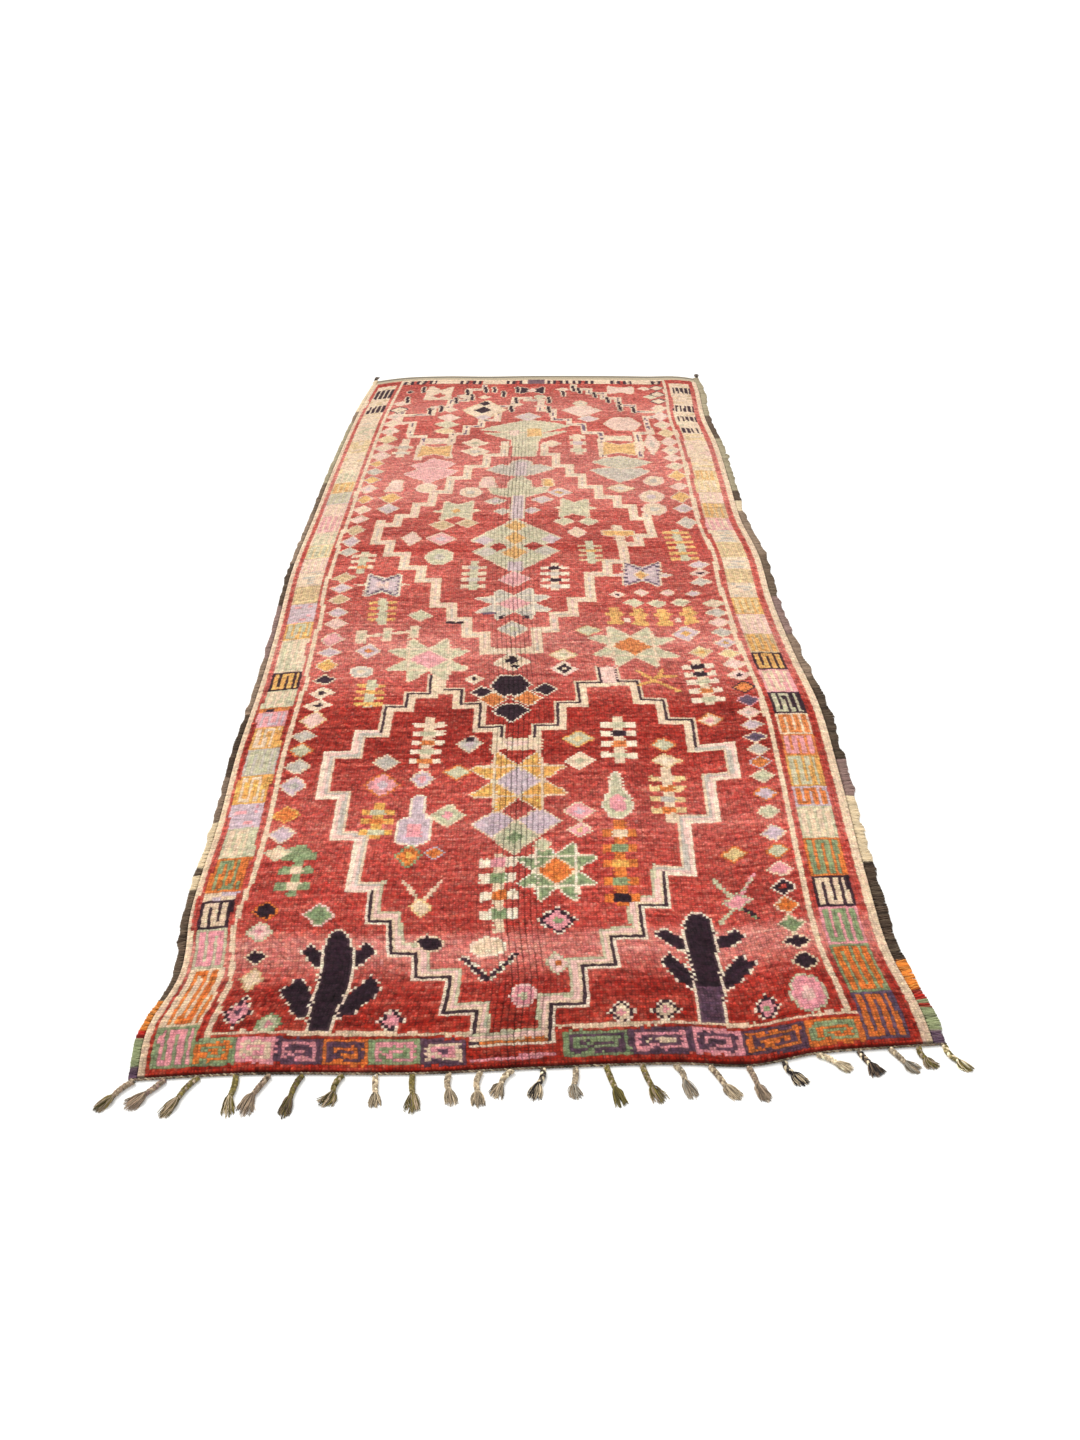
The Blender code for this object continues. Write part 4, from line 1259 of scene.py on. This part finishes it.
def knot_pile_part(name, first, last, relief, tips, dyes, material):
    """One length of the pile: tufts on top, a bristly wall round its rim and a flat back."""
    rng = np.random.default_rng(SEED + first)
    grid = [values[first : last + 1] for values in relief]
    tuft = [values[first:last] for values in tips]
    rows, columns = tuft[0].shape
    index = np.arange((rows + 1) * (columns + 1)).reshape(rows + 1, columns + 1)
    tip = index.size + np.arange(rows * columns).reshape(rows, columns)
    low_left, low_right = index[:-1, :-1], index[:-1, 1:]
    high_left, high_right = index[1:, :-1], index[1:, 1:]
    around = (low_left, low_right, high_right, high_left)
    flanks = zip(around, around[1:] + around[:1])
    tufts = np.stack([np.stack((start, end, tip), axis=-1) for start, end in flanks], axis=2)

    loop = edge_loop(rows, columns)
    count = len(loop)
    rim = index[loop[:, 0], loop[:, 1]]
    rim_x, rim_y, rim_z = (values[loop[:, 0], loop[:, 1]] for values in grid)
    run_x = np.roll(rim_x, -1) - np.roll(rim_x, 1)
    run_y = np.roll(rim_y, -1) - np.roll(rim_y, 1)
    length = np.hypot(run_x, run_y)
    outer = (loop[:, 1] == 0) | (loop[:, 1] == columns)
    outer |= (loop[:, 0] == 0) & (first == 0)
    outer |= (loop[:, 0] == rows) & (last == ROWS)
    swell = np.where(outer, rng.uniform(*RIM_SWELL, count), 0)
    belly = (rim_x + swell * run_y / length, rim_y - swell * run_x / length, 0.5 * rim_z)
    back_rim = (rim_x, rim_y, np.full(count, BACK_LIFT))
    points = np.concatenate([in_frame(*part) for part in (grid, tuft, belly, back_rim)])
    middle = index.size + tip.size + np.arange(count)
    bottom = middle + count

    def wall(high, low):
        return np.stack((low, np.roll(low, -1), np.roll(high, -1), high), axis=1)

    walls = np.concatenate((wall(rim, middle), wall(middle, bottom)))
    near_right, far_right, far_left = columns, columns + rows, 2 * columns + rows
    left_side = np.concatenate(((bottom[0],), bottom[:far_left - 1 : -1]))
    right_side = bottom[near_right : far_right + 1]
    strips = (left_side[1:-2], left_side[2:-1], right_side[2:-1], right_side[1:-2])
    strips = np.stack(strips, axis=1)
    near_strip = np.concatenate((left_side[:2], right_side[1::-1], bottom[near_right - 1 : 0 : -1]))
    far_run = bottom[far_left - 1 : far_right : -1]
    far_strip = np.concatenate((left_side[-2:], far_run, right_side[:-3:-1]))
    faces = [tufts.reshape(-1, 3), walls, strips, near_strip[None], far_strip[None]]
    piece = mesh_piece(name, points, faces, material)

    # Colours: blended dyes with painted shade in the hollows, a painted highlight on the tips,
    # painted shade on the wall round the rim, and a plain grey back.
    colours, blend, painted_pit_shade = dyes
    knots = colours[first:last]
    around = blend[first : last + 1]
    corner = [around[:-1, :-1], around[:-1, 1:], around[1:, 1:], around[1:, :-1]]
    hollow = painted_pit_shade[first : last + 1, :, None]
    depth = [hollow[:-1, :-1], hollow[:-1, 1:], hollow[1:, 1:], hollow[1:, :-1]]
    # Corner colours: half the knot's dye, half its neighbours', darkened by painted shade.
    hollow_dyes_and_shade = [(0.5 * knots + 0.5 * near) * deep for near, deep in zip(corner, depth)]
    shade = np.empty((rows, columns, 4, 3, 3))
    # Each flank of a tuft runs from two shaded corners to its tip, which gets a painted highlight.
    for flank in range(4):
        shade[:, :, flank, 0] = hollow_dyes_and_shade[flank]
        shade[:, :, flank, 1] = hollow_dyes_and_shade[(flank + 1) % 4]
        shade[:, :, flank, 2] = TIP_PAINTED_HIGHLIGHT * knots
    beside = knots[np.minimum(loop[:, 0], rows - 1), np.minimum(loop[:, 1], columns - 1)]
    # Painted shade on the wall round the rim.
    wall_painted_shade = np.repeat(RIM_PAINTED_SHADE * beside, 4, axis=0)
    back = np.full((strips.size + near_strip.size + far_strip.size, 3), BACK_SHADE)
    every = np.concatenate((shade.reshape(-1, 3), wall_painted_shade, wall_painted_shade, back))
    paint(piece, "CORNER", every)
    return piece


def paint(piece, domain, colours):
    """Give each point or face corner its dye, picked as a screen shows it."""
    layer = piece.data.color_attributes.new("dye", "BYTE_COLOR", domain)
    full = np.ones((len(colours), 4), np.float32)
    full[:, :3] = np.clip(colours, 0, 1)
    layer.data.foreach_set("color_srgb", full.ravel())


def yarn_colour(name):
    """Dye of a yarn, picked as a screen shows it."""
    return np.array(YARNS[name], float) / 255


def edge_line(side, reach):
    """Middle of one selvedge, with its width and dye at each point, from near to far."""
    table, cord_wide, wraps, across, turn = {
        "left": (LEFT_EDGE, LEFT_SELVEDGE_WIDE, LEFT_WRAPS, 0.0, 1),
        "right": (RIGHT_EDGE, RIGHT_SELVEDGE_WIDE, RIGHT_WRAPS, 1.0, -1),
    }[side]
    start = loom_point(np.array(across), np.array(0.0))[1]
    end = loom_point(np.array(across), np.array(1.0))[1] + reach
    y = np.linspace(start, end, EDGE_POINTS)
    x = smooth(table, y) + turn * cord_wide / 2
    row = (y - start) / (end - reach - start) * ROWS
    ends, names = zip(*rows_of(wraps))
    dyes = np.array([yarn_colour(name) for name in names])
    place = np.minimum(np.searchsorted(ends, row), len(names) - 1)
    rng = np.random.default_rng(SEED + 5 + turn)
    base = dyes[place]
    depth = 1 - base.min(axis=1, keepdims=True)
    stray = 1 + rng.normal(0, EDGE_STRAY, EDGE_POINTS)[:, None] * depth
    # Paler towards the far end: partly real fading, partly painted sheen.
    fade = (np.clip(row / ROWS - 0.2, 0, 1) * EDGE_FADE_AND_SHEEN)[:, None]
    mixed = rng.uniform(-0.6, 0.4, EDGE_POINTS).clip(0)[:, None] * depth
    colour = (base * (1 - mixed) + yarn_colour("khaki") * mixed) * stray
    colour += (np.array(FADED_AND_SHEEN) - colour) * fade
    places = np.linspace(start, end, EDGE_LUMPS)
    lump = np.interp(y, places, rng.normal(0, EDGE_LUMP, EDGE_LUMPS))
    x = x - turn * EDGE_LUMP_OUT * cord_wide * lump
    wide = cord_wide * (1 + lump + rng.normal(0, WRAP_STRAY, EDGE_POINTS))
    return in_frame(x, y, 0.0), linear(np.clip(colour, 0, 1)), wide


def even_yarn(x, y, z, girth, shade):
    """A line of yarn in one dye."""
    count = len(x)
    return in_frame(x, y, z), np.broadcast_to(girth, count), np.tile(shade, (count, 1))


def plait_lines(tassel, looks, rng):
    """Three strands of one plait, then its loose yarns, as lines with a girth and a dye."""
    root, tip_across, tip_out, *dyes = tassel
    strands, loose = dyes[:3], dyes[3:]
    start = np.array((root, smooth(NEAR_END, root) - END_CORD_WIDE - 0.001))
    reach = np.array((tip_across, tip_out + END_CORD_WIDE))
    length = math.hypot(*reach)
    ahead = reach / length
    aside = np.array((ahead[1], -ahead[0]))
    bend = rng.uniform(-0.006, 0.006)
    stem = length * rng.uniform(0.5, 0.62)
    turns = stem / looks.plait_cycle
    share = np.linspace(0, 1, int(turns * PLAIT_POINTS) + PLAIT_POINTS // 2)

    def stem_at(part):
        """Middle of the stem at a share of its length."""
        part = np.asarray(part)[:, None]
        return start + ahead * (stem * part) + aside * (bend * np.sin(math.pi * part))

    lines = []
    phase = rng.uniform(0, 1)
    middle = stem_at(share)
    for place, dye in enumerate(strands):
        angle = 2 * math.pi * (turns * share + phase + place / 3)
        tight = 1 - 0.35 * share**4
        swing = (looks.plait_swing * np.sin(angle) * tight)[:, None]
        x, y = (middle + aside * swing).T
        z = looks.strand + looks.plait_swing * 0.5 * (1 + np.sin(2 * angle) * tight)
        speckle = rng.normal(1, 0.16, (len(share), 1))
        blend = rng.uniform(-0.5, 0.6, (len(share), 1)).clip(0)
        shade = (yarn_colour(dye) * (1 - blend) + yarn_colour(loose[1]) * blend) * speckle
        girth = looks.strand * rng.uniform(0.9, 1.12, len(share))
        lines.append((in_frame(x, y, z), girth, shade))

    knot = stem_at((0.97,))[0]
    twist = np.linspace(0, 2 * math.pi, TIE_POINTS)
    for pull in (-0.0012, 0.0012):
        ring = knot + ahead * pull + aside * (0.0048 * np.cos(twist))[:, None]
        x, y = ring.T
        z = 0.0045 + 0.0036 * np.sin(twist)
        shade = yarn_colour(strands[0]) * 0.8
        lines.append(even_yarn(x, y, z, TIE_GIRTH, shade))

    spread = looks.loose_spread * rng.uniform(0.8, 1.5)
    sag = rng.uniform(-0.008, 0.008)
    rest = length - stem
    for _ in range(looks.loose_yarns):
        lean = rng.uniform(-1, 1)
        far = rest * rng.uniform(0.6, 1.08) * (1 - 0.18 * abs(lean))
        part = np.linspace(0, 1, LOOSE_POINTS)[:, None]
        curl = rng.normal(0, 0.0016)
        wander = lean * (0.0032 + spread * part**0.6 * 0.5) + sag * part**2
        wander = wander + curl * np.sin(math.pi * part * rng.uniform(0.8, 1.6))
        x, y = (knot + ahead * (far * part) + aside * wander).T
        high = rng.uniform(0.0008, 0.0078)
        part = part[:, 0]
        z = 0.0009 + high * (1 - part) ** 0.8 + 0.0012 * np.sin(3 * part + curl * 900) ** 2
        shade = yarn_colour(loose[int(rng.integers(len(loose)))]) * rng.uniform(0.6, 1.3)
        girth = looks.loose_girth * rng.uniform(0.75, 1.25) * (1 - 0.45 * part**2)
        lines.append(even_yarn(x, y, z, girth, shade))
    return lines


def twine_lines(looks):
    """Two plies of the cord that ends the near edge, twisted round each other."""
    reach = np.linspace(LEFT_EDGE[0][1] + PLAN_SLACK, RIGHT_EDGE[0][1] - PLAN_SLACK, TWINE_POINTS)
    middle_y = smooth(NEAR_END, reach) - 0.4 * END_CORD_WIDE
    rng = np.random.default_rng(SEED + 13)
    lines = []
    for ply, dye in enumerate(("taupe", "stone")):
        angle = 2 * math.pi * reach / looks.twine_pitch + ply * math.pi
        y = middle_y + TWINE_RADII[0] * np.cos(angle)
        z = TWINE_HIGH + TWINE_RADII[1] * np.sin(angle)
        mottle = rng.uniform(0.55, 1.15, (len(reach) // 5, 1)).repeat(5, axis=0)
        dark = np.interp(np.sin(reach * 21) + np.sin(reach * 34 + 1), (0.9, 1.2), (0, 1))[:, None]
        shade = (yarn_colour(dye) * (1 - dark) + yarn_colour("umber") * dark) * mottle
        lines.append((in_frame(reach, y, z), np.full(len(reach), looks.twine_girth), shade))
    return lines


def tuft_lines(start, reach, looks, rng):
    """A tied bunch of loose dark yarns at a far corner."""
    start = np.array(start)
    reach = np.array(reach)
    length = math.hypot(*reach)
    ahead = reach / length
    aside = np.array((ahead[1], -ahead[0]))
    lines = []
    for _ in range(looks.corner_yarns):
        part = np.linspace(0, 1, TUFT_POINTS)[:, None]
        lean = rng.uniform(-1, 1)
        side = rng.uniform(-0.003, 0.003) + lean * 0.012 * part**1.4
        far = length * rng.uniform(0.6, 1.0)
        x, y = (start + ahead * (far * part) + aside * side).T
        part = part[:, 0]
        z = 0.0012 + rng.uniform(0.0005, 0.006) * (1 - part) + 0.001 * np.sin(4 * part + lean) ** 2
        dye = TUFT_YARNS[int(rng.integers(len(TUFT_YARNS)))]
        shade = yarn_colour(dye) * rng.uniform(0.8, 1.3)
        lines.append(even_yarn(x, y, z, looks.loose_girth, shade))
    twist = np.linspace(0, 2 * math.pi, TIE_POINTS)
    for place in (0.012, 0.0145, 0.017):
        x, y = (start + ahead * place + aside * (0.0052 * np.cos(twist))[:, None]).T
        z = 0.0042 + 0.0034 * np.sin(twist)
        lines.append(even_yarn(x, y, z, TUFT_TIE_GIRTH, yarn_colour("black")))
    return lines


def grow_yarns(name, lines, sides, material):
    """Turn lines with a girth and a dye into yarn."""
    points, links = chain([line for line, _, _ in lines])
    girth = np.concatenate([thick for _, thick, _ in lines])
    colour = linear(np.clip(np.concatenate([shade for _, _, shade in lines]), 0, 1))
    sizes = {"Sides": sides, "Thickness": 1.0}
    facts = {"girth": girth, "dye": colour}
    return grow(name, yarn_tree(material), sizes, points, links, facts)


def weave_band(looks, material):
    """Flat-woven band past the last row of knots: fine ribs across, coloured in stripes."""
    rng = np.random.default_rng(SEED + 9)
    across = np.linspace(0, 1, BAND_WARPS)
    last_pick, last_warp = BAND_PICKS - 1, BAND_WARPS - 1
    share, out = np.meshgrid(across, np.arange(BAND_PICKS) / last_pick)
    x, y = loom_point(share, np.ones_like(share))
    y = y + BAND_GAP + out * (END_BAND_WIDE - BAND_GAP)
    pick, warp = np.mgrid[:BAND_PICKS, :BAND_WARPS]
    rib = np.where((pick + warp) % 2, 1.0, -1.0)
    z = END_BAND_THICK - 0.0009 + looks.band_rib * rib + 0.0004 * np.sin(11 * x + 3 * out)
    z[0] = z[-1] = END_BAND_THICK * 0.6
    top = in_frame(x, y, z)
    faces = [grid_faces(BAND_PICKS, BAND_WARPS)]
    loop = edge_loop(last_pick, last_warp)
    rim = loop[:, 0] * BAND_WARPS + loop[:, 1]
    low_x, low_y, _ = top[rim].T
    low = np.stack((low_x, low_y, np.full(len(rim), BACK_LIFT)), axis=1)
    bottom = len(top) + np.arange(len(rim))
    faces.append(np.stack((bottom, np.roll(bottom, -1), np.roll(rim, -1), rim), axis=1))
    far_right = last_warp + last_pick
    far_left = far_right + last_warp
    near_side = bottom[:BAND_WARPS]
    mirrored = bottom[far_right : far_left + 1][::-1]
    back = (near_side[1:], near_side[:-1], mirrored[:-1], mirrored[1:])
    faces.append(np.stack(back, axis=1)[1:-1])
    left_end = np.concatenate((near_side[:2], (mirrored[1], mirrored[0]), bottom[:far_left:-1]))
    right_run = bottom[BAND_WARPS:far_right]
    right_end = np.concatenate((near_side[-2:], right_run, (mirrored[-1], mirrored[-2])))
    faces += [left_end[None, ::-1], right_end[None, ::-1]]
    piece = mesh_piece("woven_end_band", np.concatenate((top, low)), faces, material)
    stripe = np.ceil(np.interp(out, BAND_SHARES, BAND_YARNS) - 0.5).astype(int)
    yarns = (yarn_colour("tan"), picked(looks.band_colour) / 255, yarn_colour("ash"))
    colour = BAND_SHADE * np.array(yarns)[stripe]
    colour = colour * rng.normal(1, 0.05, (BAND_PICKS, BAND_WARPS, 1))
    colour = (colour * rng.normal(1, 0.04, (BAND_PICKS, 1, 1))).reshape(-1, 3)
    # The band's bottom rim points get painted shade.
    paint(piece, "POINT", np.concatenate((colour, BAND_RIM_PAINTED_SHADE * colour[rim])))
    return piece


class PileLooks(bpy.types.PropertyGroup):
    """Sizes and main colours of the knotted pile."""

    field_red: FloatVectorProperty(
        name="Field red", description="Red of the field, which each batch of dyed wool shifts",
        default=[step / 255 for step in DYES["red"]], min=0.0, max=1.0, subtype="COLOR_GAMMA",
    )
    cream: FloatVectorProperty(
        name="Cream", description="Pale wool of the outlines, combs and guard stripes",
        default=[step / 255 for step in DYES["cream"]], min=0.0, max=1.0, subtype="COLOR_GAMMA",
    )
    black: FloatVectorProperty(
        name="Black", description="Darkest wool of the trees and outlines",
        default=[step / 255 for step in DYES["black"]], min=0.0, max=1.0, subtype="COLOR_GAMMA",
    )
    knot_depth: FloatProperty(
        name="Knot depth", description="How far the gaps between tufts lie below their tips",
        default=0.0022, min=0.0005, max=0.006, unit="LENGTH",
    )
    knot_stray: FloatProperty(
        name="Knot stray", description="How far one tuft stands above or below the next",
        default=0.0006, min=0.0, max=0.002, unit="LENGTH",
    )
    tuft_lean: FloatProperty(
        name="Tuft lean", description="How far the tufts lean towards the fringed end",
        default=0.0014, min=0.0, max=0.004, unit="LENGTH",
    )
    crease_depth: FloatProperty(
        name="Crease depth", description="Height of the ridges along the middle of the rug",
        default=0.0019, min=0.0, max=0.004, unit="LENGTH",
    )
    fade: FloatProperty(
        name="Fade", description="How much paler the wool is at the far end", default=0.6, min=0.0,
        max=0.9, subtype="FACTOR",
    )


class EdgeLooks(bpy.types.PropertyGroup):
    """Sizes of the overcast side edges, and size and colour of the flat-woven band."""

    wrap_pitch: FloatProperty(
        name="Wrap pitch", description="Distance from one turn of the overcasting to the next",
        default=0.0038, min=0.0025, max=0.01, unit="LENGTH",
    )
    wrap_girth: FloatProperty(
        name="Wrap girth", description="Radius of the overcasting yarn", default=0.0021, min=0.0008,
        max=0.003, unit="LENGTH",
    )
    cord_groove: FloatProperty(
        name="Cord groove", description="Depth of the groove between two warp cords of an edge",
        default=0.0016, min=0.0, max=0.003, unit="LENGTH",
    )
    band_colour: FloatVectorProperty(
        name="Band colour", description="Main colour of the flat-woven band",
        default=[step / 255 for step in YARNS["cream"]], min=0.0, max=1.0, subtype="COLOR_GAMMA",
    )
    band_rib: FloatProperty(
        name="Band rib", description="Height of the ribs in the flat-woven band", default=0.0004,
        min=0.0, max=0.001, unit="LENGTH",
    )


class FringeLooks(bpy.types.PropertyGroup):
    """Sizes of the twined cord, its plaits and the corner tufts."""

    strand: FloatProperty(
        name="Strand girth", description="Radius of one strand of a plait", default=0.0031,
        min=0.001, max=0.004, unit="LENGTH",
    )
    plait_swing: FloatProperty(
        name="Plait swing", description="How far a strand swings to each side of its plait",
        default=0.0034, min=0.001, max=0.006, unit="LENGTH",
    )
    plait_cycle: FloatProperty(
        name="Plait cycle",
        description="Length of plait in which a strand comes back to its own side", default=0.021,
        min=0.01, max=0.04, unit="LENGTH",
    )
    loose_yarns: IntProperty(
        name="Loose yarns", description="Yarns in the loose end of each tassel", default=70, min=8,
        max=90,
    )
    loose_girth: FloatProperty(
        name="Loose girth", description="Radius of one loose yarn", default=0.001, min=0.0003,
        max=0.002, unit="LENGTH",
    )
    loose_spread: FloatProperty(
        name="Loose spread", description="How wide the loose end of a tassel fans out",
        default=0.021, min=0.005, max=0.05, unit="LENGTH",
    )
    twine_pitch: FloatProperty(
        name="Twine pitch", description="Length in which the end cord's plies turn once",
        default=0.014, min=0.006, max=0.04, unit="LENGTH",
    )
    twine_girth: FloatProperty(
        name="Twine girth", description="Radius of one ply of the end cord", default=0.0015,
        min=0.0008, max=0.004, unit="LENGTH",
    )
    corner_yarns: IntProperty(
        name="Corner yarns", description="Yarns in each dark tuft at the far corners", default=34,
        min=6, max=80,
    )


class StageLooks(bpy.types.PropertyGroup):
    """The floor, the light and the camera."""

    floor_colour: FloatVectorProperty(
        name="Floor", description="Colour of the plain floor", default=(0.92, 0.92, 0.915), size=3,
        min=0.0, max=1.0, subtype="COLOR",
    )
    sky: FloatProperty(
        name="Sky", description="Strength of the even light from all round", default=0.88, min=0.0,
        max=3.0,
    )
    key: FloatProperty(
        name="Key light", description="Strength of the soft light from the upper left", default=2.6,
        min=0.0, max=10.0,
    )
    key_soft: FloatProperty(
        name="Key softness", description="How wide the key light looks from the floor",
        default=math.radians(30), min=0.0, max=math.pi / 2, subtype="ANGLE",
    )
    lens: FloatProperty(
        name="Lens", description="Focal length of the camera in millimetres", default=29.5,
        min=10.0, max=200.0,
    )


def check_plan():
    """Stop if the loom's outline no longer fits the pile's solid."""
    x, y = loom_point(np.linspace(0, 1, 200)[None, :], np.linspace(0, 1, 200)[:, None])
    low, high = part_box("pile_rug")
    ours = (x.min() - MIDDLE[0], y.min() - MIDDLE[1], x.max() - MIDDLE[0], y.max() - MIDDLE[1])
    theirs = (low[0], low[1], high[0], high[1])
    if max(abs(a - b) for a, b in zip(ours, theirs)) > PLAN_SLACK:
        raise RuntimeError("the loom's outline has left the pile's solid")


class RUG_OT_pile(bpy.types.Operator):
    """Knot the patterned pile, in three lengths"""

    bl_idname = "rug.pile"
    bl_label = "Knot the pile"

    def execute(self, context):
        looks = context.scene.rug_pile
        check_plan()
        material = wool("pile wool")
        dyes = knot_dyes(knot_colours(knot_chart(), looks))
        relief, tips = pile_relief(looks)
        for name, first, last in PILE_PARTS:
            piece = knot_pile_part(name, first, last, relief, tips, dyes, material)
            register_piece(piece, "pile_rug")
        return {"FINISHED"}


class RUG_OT_selvedges(bpy.types.Operator):
    """Overcast both side edges in blocks of coloured yarn"""

    bl_idname = "rug.selvedges"
    bl_label = "Overcast the side edges"

    def execute(self, context):
        looks = context.scene.rug_edges
        material = wool("edge wool")
        tree = wrap_tree(material)
        for side, cords, nominal in SELVEDGES:
            points, colour, wide = edge_line(side, END_BAND_WIDE)
            line, links = chain([points])
            sizes = {
                "Pitch": looks.wrap_pitch, "Yarn": looks.wrap_girth, "Width": nominal,
                "Cords": cords, "Groove": looks.cord_groove,
            }
            name = f"overcast_edge_{side}"
            piece = grow(name, tree, sizes, line, links, {"dye": colour, "wide": wide})
            register_piece(piece, f"selvedge_{side}")
        return {"FINISHED"}


class RUG_OT_end_band(bpy.types.Operator):
    """Weave the flat band at the far end"""

    bl_idname = "rug.end_band"
    bl_label = "Weave the end band"

    def execute(self, context):
        looks = context.scene.rug_edges
        piece = weave_band(looks, wool("flat weave"))
        register_piece(piece, "end_band_far")
        return {"FINISHED"}


class RUG_OT_fringe(bpy.types.Operator):
    """Twine the end cord and plait the tassels"""

    bl_idname = "rug.fringe"
    bl_label = "Twine and plait the fringe"

    def execute(self, context):
        looks = context.scene.rug_fringe
        rng = np.random.default_rng(SEED + 3)
        material = wool("fringe yarn")
        plaits = []
        for tassel in rows_of(TASSELS):
            plaits += plait_lines(tassel, looks, rng)
        parts = (("twined_end_cord", twine_lines(looks), 6), ("plaited_tassels", plaits, 5))
        for name, lines, sides in parts:
            piece = grow_yarns(name, lines, sides, material)
            register_piece(piece, "fringe_near")
        return {"FINISHED"}


class RUG_OT_corner_tufts(bpy.types.Operator):
    """Tie the dark tufts at the far corners"""

    bl_idname = "rug.corner_tufts"
    bl_label = "Tie the corner tufts"

    def execute(self, context):
        looks = context.scene.rug_fringe
        rng = np.random.default_rng(SEED + 4)
        material = wool("tuft yarn")
        for side, across, shift, reach in CORNER_TUFTS:
            x, y = loom_point(np.array(across), np.array(1.0))
            start = (float(x) + shift, float(y) + END_BAND_WIDE)
            lines = tuft_lines(start, reach, looks, rng)
            piece = grow_yarns(f"corner_yarns_{side}", lines, 5, material)
            register_piece(piece, f"corner_tuft_{side}")
        return {"FINISHED"}


class RUG_OT_stage(bpy.types.Operator):
    """Lay a pale floor, set soft light and stand the camera at the fringed end"""

    bl_idname = "rug.stage"
    bl_label = "Set the stage"

    def execute(self, context):
        looks = context.scene.rug_stage
        floor_paint = bpy.data.materials.new("plain floor")
        floor_paint.use_nodes = True
        shader = floor_paint.node_tree.nodes["Principled BSDF"]
        shader.inputs["Base Color"].default_value = (*looks.floor_colour, 1.0)
        shader.inputs["Roughness"].default_value = 1.0
        shader.inputs["Specular IOR Level"].default_value = 0.0
        corners = np.array(((-1, -1, 0), (1, -1, 0), (1, 1, 0), (-1, 1, 0)), float) * FLOOR_REACH
        mesh_piece("floor", corners, [np.array(((0, 1, 2, 3),))], floor_paint)

        world = bpy.data.worlds.new("soft sky")
        world.use_nodes = True
        backdrop = world.node_tree.nodes["Background"]
        backdrop.inputs["Color"].default_value = (*SKY_COLOUR, 1.0)
        backdrop.inputs["Strength"].default_value = looks.sky
        context.scene.world = world

        lamp = bpy.data.lights.new("key light", "SUN")
        lamp.energy = looks.key
        lamp.angle = looks.key_soft
        lamp.color = KEY_COLOUR
        linked("key light", lamp).rotation_euler = KEY_TURN

        lens = bpy.data.cameras.new("camera")
        lens.lens = looks.lens
        lens.sensor_width = SENSOR_WIDE
        lens.clip_end = CLIP_END
        camera = linked("camera", lens)
        camera.location = CAMERA_PLACE
        camera.rotation_euler = CAMERA_TURN
        context.scene.camera = camera
        context.scene.view_settings.view_transform = "Standard"
        return {"FINISHED"}


class RUG_PT_panel(bpy.types.Panel):
    """Settings and steps of the runner"""

    bl_idname = "RUG_PT_panel"
    bl_label = "Village Runner"
    bl_space_type = "VIEW_3D"
    bl_region_type = "UI"
    bl_category = "Rug"

    def draw(self, context):
        layout = self.layout
        for heading, group, operators in PANEL_ROWS:
            box = layout.box()
            box.label(text=heading)
            looks = getattr(context.scene, group)
            for name in looks.bl_rna.properties.keys():
                if name not in ("rna_type", "name"):
                    box.prop(looks, name)
            for operator in operators:
                box.operator(operator)


LOOKS = (
    ("rug_pile", PileLooks),
    ("rug_edges", EdgeLooks),
    ("rug_fringe", FringeLooks),
    ("rug_stage", StageLooks),
)
PANEL_ROWS = (
    ("Pile", "rug_pile", ("rug.pile",)),
    ("Edges", "rug_edges", ("rug.selvedges", "rug.end_band")),
    ("Fringe", "rug_fringe", ("rug.fringe", "rug.corner_tufts")),
    ("Stage", "rug_stage", ("rug.stage",)),
)
CLASSES = (
    PileLooks, EdgeLooks, FringeLooks, StageLooks, RUG_OT_pile, RUG_OT_selvedges, RUG_OT_end_band,
    RUG_OT_fringe, RUG_OT_corner_tufts, RUG_OT_stage, RUG_PT_panel,
)


def register():
    """Add the settings, operators and panel to Blender."""
    for kind in CLASSES:
        bpy.utils.register_class(kind)
    for name, group in LOOKS:
        setattr(bpy.types.Scene, name, PointerProperty(type=group))


def unregister():
    """Take them away again."""
    for name, _ in LOOKS:
        delattr(bpy.types.Scene, name)
    for kind in reversed(CLASSES):
        bpy.utils.unregister_class(kind)


def main():
    """Build every piece in order."""
    register()
    bpy.ops.rug.pile()
    bpy.ops.rug.selvedges()
    bpy.ops.rug.end_band()
    bpy.ops.rug.fringe()
    bpy.ops.rug.corner_tufts()
    bpy.ops.rug.stage()


if __name__ == "__main__":
    main()
